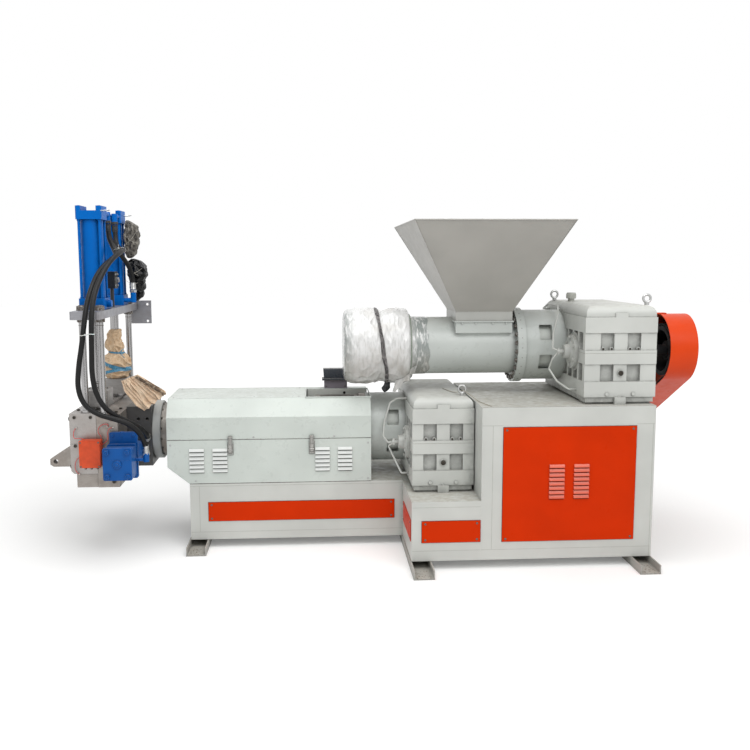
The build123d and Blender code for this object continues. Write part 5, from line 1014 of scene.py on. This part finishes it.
# Hydraulic cylinders: seamless tubes held between square end caps by four tie rods each, sprayed
# glossy blue over everything, nuts included. Thin edges show the grey primer.
BLUE_ENAMEL = enamel("gloss_blue_enamel", "#0066BE", 0.36, dust=0.2, chips=0.5, under="#7C8187", grime_and_shade=0.85,
                     reach_mm=60, shine=0.1)
paint(BLUE_ENAMEL, "hydraulic_cylinders")
MOTOR_BLUE = enamel("motor_blue_enamel", "#0254A0", 0.34, cast=0.25, dust=0.25, chips=0.7, under="#6B6E70", shine=0.25)
paint(MOTOR_BLUE, "gear_motor", "motor_plate")
nuts, tubes = bmesh.new(), bmesh.new()
for y in CYLINDER_YS:
    for dx, dy in ((-60, -60), (-60, 60), (60, -60), (60, 60)):
        lathe(nuts, [(9, 0), (9, 1.2), (7, 2), (0, 2)], 20, at(CYLINDER_X + dx, y + dy, 2108), UP)
        for z, side in ((1562, 1), (2028, -1)):
            nut = [(11, 0), (11, 9 * side), (9.4, 10.5 * side), (8.2, 10.5 * side)]
            lathe(nuts, nut, 6, at(CYLINDER_X + dx, y + dy, z), UP)
    lathe(tubes, [(65.5, 1), (65.5, 464), (58, 465)], 64, at(CYLINDER_X, y, 1562.5), UP)
mesh_piece("cylinder_nuts", nuts, BLUE_ENAMEL)
mesh_piece("cylinder_tube_skins", tubes, BLUE_ENAMEL, 60)

# The gear motor's cover screws, foot bolts, bearing cap, filler and the joint of its housing.
bm = bmesh.new()
for x in (-1924, -1806):
    for z in (541, 684):
        lathe(bm, socket_head(15.4, 3, 12, 4, 10, 1), 6, at(x, -639, z), FORWARD)
for x in (-1921, -1797):
    for z in (513, 756):
        hex_bolt(bm, at(x, -475, z), FORWARD, 17)
lathe(bm, [(24, 0), (24, 7), (21, 9), (0, 9)], 32, at(-1865, -625, 612), FORWARD)
hex_bolt(bm, at(-1865, -634, 612), FORWARD, 19)
lathe(bm, [(16, 0), (16, 26), (13, 30), (0, 30)], 24, at(-1865, -462, 745), UP)
seam_strip(bm, (-1946, -625, 636), (-1784, -625, 636), FORWARD, 2.6, 0.9)
mesh_piece("gear_motor_bolts", bm, MOTOR_BLUE)

# Wire handles on the upper end caps, and the valve block's screws and plug.
HANDLE_WIRE = 0.0024
bm = bmesh.new()
for x, y in ((-1922, -330), (-1921, 300)):
    rings = []
    for turn in (math.pi * part for part in parts(24)):
        out = Vector((math.sin(turn), math.cos(turn), 0))
        middle = at(x - 42 + 46 * out.x, y + 26 * out.y, 2078 + 3 * out.x)
        rings.append([bm.verts.new(middle + (out * math.cos(a) + Vector(UP) * math.sin(a)) * HANDLE_WIRE)
                      for a in turns(8)])
    skin(bm, rings, closed=True)
mesh_piece("cap_wire_handles", bm, ZINC)
paint(enamel("valve_black_enamel", "#1D1E20", 0.36, cast=0.2, dust=0.4, chips=0.5, under="#77757A"), "valve_block")
bm = bmesh.new()
for y in (-30, 30):
    for z in (1630, 1700):
        lathe(bm, socket_head(6, 5, 5, 6, 3, 2), 16, at(-1965, y, z), (1, 0, 0))
lathe(bm, [(16, 0), (16, 16), (13, 18), (0, 18)], 6, at(-1965, 0, 1665), (1, 0, 0))
mesh_piece("valve_screws", bm, ZINC)


# Kraft paper round the rear rod: one creased sheet wound over the rod and its nut, drawn in at the neck
# with blue twine and held round the belly with blue tape.
def creased_kraft(name, light, dark):
    """Brown packing paper: fibres along the web, sharp creases worn pale at their ridges, and painted shade in their
    folds.
    """
    material, tree, shader = new_material(name)
    fibre = texture(tree, "TexNoise", 2.6, (1, 1, 0.15), Detail=4.0)
    crush = texture(tree, "TexVoronoi", 46, feature="DISTANCE_TO_EDGE", Randomness=1.0, Detail=1.0)
    small = texture(tree, "TexNoise", 26, Detail=3.0, Distortion=0.8)
    edge = spread(tree, crush, 0.0, 0.07, 1.0, 0.0)
    tone = blend(tree, spread(tree, small, 0.36, 0.66), light, dark)
    # The last tone is painted shade in the folds.
    for factor, colour in ((spread(tree, fibre, 0.4, 0.7, 0, 0.3), "#A88A66"),
                           (maths(tree, "MULTIPLY", edge, 0.4), "#E3CFB2"),
                           (painted_corner_shade(tree, 20, 0.2, 0.8, 0.5, 8), "#7A5A42")):
        tone = blend(tree, factor, tone, colour)
    feed(tree, shader, {
        "Base Color": tone, "Roughness": 0.82, "Sheen Weight": 0.08,
        "Normal": bump(tree, fibre, 0.06, bump(tree, small, 1.2, bump(tree, edge, 0.9)))})
    return material


PAPER_STATIONS = ((0, 70), (22, 82), (48, 92), (66, 94), (96, 93), (124, 88), (146, 74), (160, 58), (170, 50),
                  (182, 53), (200, 58), (218, 58), (244, 53), (272, 47), (296, 42), (312, 38), (322, 34), (324, 29))
PAPER_FOOT, PAPER_HIGH, PAPER_ROWS = 1011, 324, 85
ROD_X, ROD_Y = CYLINDER_X, CYLINDER_YS[1]


def paper_radius(height, turn):
    """Radius of the creased paper at a height over the gate."""
    around = Vector((math.cos(turn) * 0.06, math.sin(turn) * 0.06, height / 1000))
    tied = min(1.0, abs(height - 170) / 40 + 0.25)
    deep = (ridged(around + Vector((0, 0, turn * 0.012)), 46, 2.6) - 0.55) * 19 * tied
    fine = (ridged(around, 17, 1.6) - 0.5) * 4
    gather = 3.4 * math.sin(turn * 15 + 2 * noise.noise(around * 9)) * max(0.0, 1 - abs(height - 172) / 46)
    return between(PAPER_STATIONS, height)[0] + deep + fine + gather - 3


def round_rod(height, turn, radius, lean=0.0):
    """Point round the rear rod at a height over the gate."""
    return at(ROD_X + lean + radius * math.cos(turn), ROD_Y + radius * math.sin(turn), PAPER_FOOT + height)


bm = bmesh.new()
rows = []
for height in (PAPER_HIGH * part for part in parts(PAPER_ROWS)):
    least = 36.5 if 190 < height < 300 else 27.5
    lean = -13 * math.sin(math.pi * max(0.0, (height - 170) / 154))
    rows.append([bm.verts.new(round_rod(height, turn, max(paper_radius(height, turn), least), lean))
                 for turn in turns(132)])
skin(bm, rows, closed=True)
rod_paper = mesh_piece("creased_rod_paper", bm, creased_kraft("creased_kraft_paper", "#E6CBAB", "#CDAB86"),
                       28)
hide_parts("rod_paper_wrap")

# Thin blue tape and twine, shiny and a little stretched white along its edges.
TAPE = two_tone("blue_tape", "#2C7298", "#5C9DB8", 7, 0.34, tones=(0.4, 0.7), raised_mm=0.8, Detail=5.0)
for name, low, tilt, width, flat in (("lower_paper_tape", 92, 34, 13, (0.62, 0.026)),
                                     ("upper_paper_tape", 44, -20, 10, (0.6, 0.02)),
                                     ("neck_twine", 171, 5, 5, (0.42, 0.011))):
    bm = bmesh.new()
    rows = []
    for turn in turns(144) + [2 * math.pi]:
        wide = width * (1 + 0.25 * noise.noise(Vector((turn, low, 0))))
        row = []
        for side in (-1, -0.5, 0, 0.5, 1):
            height = low - tilt * math.cos(turn + 0.5) + side * wide
            steady = sum(paper_radius(height, turn + step * 0.07) for step in (-2, -1, 0, 1, 2)) / 5
            row.append(bm.verts.new(round_rod(height, turn, max(steady, paper_radius(height, turn)) + 1.4)))
        rows.append(row)
    skin(bm, rows)
    band = mesh_piece(name, bm, TAPE, 40)
# The bow's two loops and two ends: reach, rise, slope and how far each stands off.
BOW_X, BOW_Y, BOW_Z = ROD_X + 34, ROD_Y - 66, PAPER_FOOT + 171
bm = bmesh.new()
for reach, lift, lean, proud in ((34, 16, 0.5, 14), (30, 22, -0.9, 14), (40, -26, 0.9, 4), (36, -30, -0.3, 4)):
    rows = []
    for part in parts(14):
        x = BOW_X + reach * part * math.cos(lean)
        y = BOW_Y - proud * math.sin(math.pi * part) - 6 * part
        z = BOW_Z + lift * part + reach * part * math.sin(lean) * 0.5
        rows.append([bm.verts.new(at(*place)) for place in ((x, y, z - 3), (x + 1.5, y - 1.5, z), (x, y, z + 3))])
    skin(bm, rows)
bow = mesh_piece("twine_bow", bm, TAPE, 40)


# Loose kraft bag: its neck is gathered under the tape and its open mouth spreads in long pleats down over the front of
# the adapter, one edge folded back and coloured dark.
LEFT_EDGE = ((0, -1917, 1045), (1, -1901, 980), (2, -1838, 893), (3, -1781, 852))
RIGHT_EDGE = ((0, -1815, 1084), (1, -1735, 1034), (2, -1650, 978), (3, -1645, 962))
BAG_FRONT, BAG_BACK = -211.0, -181.2
bm = bmesh.new()
rows = []
for part in parts(60):
    left, right = between(LEFT_EDGE, part * 3), between(RIGHT_EDGE, part * 3)
    row = []
    for across in parts(96):
        x, z = (a + (b - a) * across for a, b in zip(left, right))
        swirl = noise.noise(Vector((across * 3, part * 1.4, 5))) * 0.6
        strong = 0.45 + 0.9 * abs(noise.noise(Vector((across * 6.5, part * 0.8, 9))))
        pleat = strong * (1 - abs(math.sin(math.pi * (across * 4.3 + swirl * 2.6))) ** 0.6)
        crease = ridged(Vector((across * 0.19, 0.4, part * 0.05)), 26, 2.0) - 0.5
        fine = ridged(Vector((x / 1000, 0.9, z / 1000)), 20, 1.6) - 0.5
        hem = 5 * math.sin(across * 24) * max(0.0, part - 0.86) / 0.14
        y = -194 - (pleat - 0.4) * (10 + 12 * part) - crease * 10 - fine * 3.5
        row.append(bm.verts.new(at(x + crease * 4, max(BAG_FRONT, min(BAG_BACK, y)), z + hem + fine * 2)))
    rows.append(row)
skin(bm, rows)
loose_bag = mesh_piece("loose_kraft_bag", bm, creased_kraft("loose_kraft_paper", "#F0D8BE", "#DDBD9E"),
                       24)
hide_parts("kraft_paper_sheet")
bm = bmesh.new()
rows = []
for part in parts(40):
    x, z = between(RIGHT_EDGE, part * 0.96 * 3)
    row = []
    for fold in parts(5):
        wave = 3 * noise.noise(Vector((part * 7, fold, 3)))
        row.append(bm.verts.new(at(x - 3 - 14 * fold + wave, -206 - 3.2 * math.sin(math.pi * fold) - wave * 0.2,
                                   z - 4 - 15 * fold + wave)))
    rows.append(row)
skin(bm, rows)
fold = mesh_piece("dark_paper_fold", bm, creased_kraft("dark_kraft_paper", "#6F5C4C", "#3E3530"), 30)


# Two bags of fittings tied to the rear cylinder for transport: the upper of thick grey film, the lower of
# glossy black film, both crumpled round what is in them and laced with thin white string.
def crumpled_bag(name, low, high, profile, material, seed, node):
    """Bag between two corners, its half sizes following a profile of (height part, width, offset) rows."""
    bm = bmesh.new()
    centre = [(a + b) / 2 for a, b in zip(low, high)]
    half = [(b - a) / 2 for a, b in zip(low, high)]
    tall = high[2] - low[2]
    rows = []
    for part in parts(96):
        wide, shift = between(profile, part)
        row = []
        for c, s in ((math.cos(turn), math.sin(turn)) for turn in turns(108)):
            around = Vector((c * 0.055, s * 0.05, part * tall / 1000 + seed))
            cell = noise.voronoi(around * 1000 / 62)[0]
            small_cell = noise.voronoi(around * 1000 / 27)[0]
            crush = 0.8 + 0.32 * min(cell[1] - cell[0], 0.7) + 0.08 * min(small_cell[1] - small_cell[0], 0.7)
            crush += 0.16 * (ridged(around, 60, 2.6) - 0.55)
            reach = wide * crush / max(abs(c), abs(s), 0.72) ** 0.75
            x = max(low[0], min(high[0] + 3, centre[0] + half[0] * (shift + reach * c)))
            y = max(low[1] - 4, min(high[1] + 4, centre[1] + half[1] * reach * s))
            sag = 5 * noise.noise(around * 22)
            row.append(bm.verts.new(at(x, y, max(low[2], min(high[2], low[2] + tall * part + sag)))))
        rows.append(row)
    skin(bm, rows, closed=True)
    bag = mesh_piece(name, bm, material, 30)
    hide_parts(node)


crumpled_bag("crumpled_grey_bag", (-1964.7, 225, 1802), (-1859.7, 315, 2050),
             ((0, 0.06, -0.3), (0.03, 0.45, -0.3), (0.12, 0.72, -0.15), (0.4, 0.95, 0), (0.68, 1.0, 0),
              (0.86, 0.8, -0.1), (0.95, 0.5, -0.35), (1, 0.12, -0.5)),
             dark_film("grey_bag_film", "#36332F", "#8B867D", 0.24), 0.3, "grey_film_bag")
crumpled_bag("crumpled_black_bag", (-1964.7, 245, 1516), (-1830.7, 360, 1800),
             ((0, 0.06, -0.1), (0.03, 0.32, -0.1), (0.1, 0.6, 0.0), (0.34, 0.8, 0.05), (0.5, 0.86, 0.1),
              (0.66, 1.04, 0.12), (0.84, 0.98, 0.08), (0.95, 0.62, -0.1), (1, 0.15, -0.3)),
             dark_film("black_bag_film", "#030304", "#131416", 0.14), 1.9, "black_bag")


def string_line(bm, places, radius_mm):
    """Thin round line through points in metres."""
    rings = []
    for before, place, after in zip(places[:1] + places, places, places[1:] + places[-1:]):
        along = (after - before).normalized()
        side = along.orthogonal().normalized()
        out = along.cross(side)
        rings.append([bm.verts.new(place + (side * math.cos(a) + out * math.sin(a)) * radius_mm / 1000)
                      for a in turns(6)])
    skin(bm, rings, closed=True)


# Thin white string laced across both bags.
bm = bmesh.new()
for first, last in (((-1962, 241, 1770), (-1872, 238, 1690)), ((-1958, 242, 1700), (-1850, 243, 1735)),
                    ((-1960, 240, 1660), (-1880, 240, 1640)), ((-1955, 221, 1960), (-1868, 221, 1900)),
                    ((-1962, 221, 1880), (-1866, 222, 1985))):
    places = []
    for part in parts(16):
        slack = Vector((0, 1.5, 14)) * math.sin(math.pi * part) / 1000
        places.append(at(*first).lerp(at(*last), part) - slack)
    string_line(bm, places, 1.1)
mesh_piece("bag_strings", bm, two_tone("white_string", "#D8D4C8", "#9B968A", 3.0, 0.8, "TexWave", raised_mm=0.4,
                                       Distortion=1.5))


# Terminal box: moulded orange cover on the die's front, its four screws in bosses, black glands below,
# and thin glass-sleeved heater leads looped up into the block.
ORANGE = two_tone("moulded_orange", "#E0552E", "#CF4F2C", 40, (0.34, 0.5), tones=(0.4, 0.7), raised_mm=0.1,
                  grain_mm=0.7, look={"Specular IOR Level": 0.3}, Detail=5.0)
paint(ORANGE, "terminal_box")
BOX_FRONT = -525
bm = bmesh.new()
for x in (-2098, -1993):
    for z in (580, 724):
        head = [(5.5, 0), (5.5, 1.4), (4.6, 2.0), (2.6, 2.0), (2.2, 0.6), (0, 0.6)]
        lathe(bm, head, 18, at(x, BOX_FRONT, z), FORWARD)
for x in (-2080, -2045, -2010):
    lathe(bm, [(9, 0), (9, -6), (7.5, -7), (7.5, -13), (5, -16), (0, -16)], 6, at(x, -490, 572), UP)
mesh_piece("terminal_screws_and_glands", bm, DARK_SCREW)
bm = bmesh.new()
face_seams(bm, BOX_FRONT, [(-2092, z, -1999, z) for z in (606, 698)], width_mm=2.0, height_mm=0.8)
mesh_piece("terminal_lid_ribs", bm, ORANGE)
# Red glass sleeving, its braid just showing.
LEAD = two_tone("red_glass_sleeving", "#C9252B", "#E0706C", 1.6, 0.7, "TexWave", raised_mm=0.15, Distortion=0.6)
LEADS = {
    "left_heater_lead": ((-2094, -462, 735), (-2112, -468, 740), (-2146, -472, 738), (-2148, -470, 762),
                         (-2146, -464, 790), (-2135, -452, 801)),
    "middle_heater_lead": ((-1990, -462, 733), (-1984, -470, 748), (-2004, -474, 772), (-2003, -470, 800),
                           (-1978, -466, 822), (-1953, -462, 824), (-1944, -456, 812), (-1953, -452, 803)),
    "right_heater_lead": ((-1983, -470, 700), (-1960, -476, 714), (-1944, -476, 738), (-1950, -472, 772),
                          (-1938, -466, 800), (-1922, -452, 800)),
    "lower_heater_lead": ((-2108, -480, 630), (-2128, -474, 624), (-2146, -470, 590), (-2148, -466, 552),
                          (-2136, -462, 526), (-2128, -452, 519)),
}
# A lead's spline cuts the corners of its control points: it is about 0.95 of their length.
bm = bmesh.new()
for name, points in LEADS.items():
    lead = cord_curve(name, points, 2, LEAD)
    bead = at(points[-1][0], DIE_FRONT, points[-1][2])
    lathe(bm, [(5.2, 0), (5.2, 3), (4, 7), (2.2, 8), (0, 8)], 16, bead, FORWARD)
# Glazed ceramic beads where the leads go into the block.
mesh_piece("lead_beads", bm, two_tone("ceramic_bead", "#E6E2DA", "#BDB6AB", 5, 0.3))
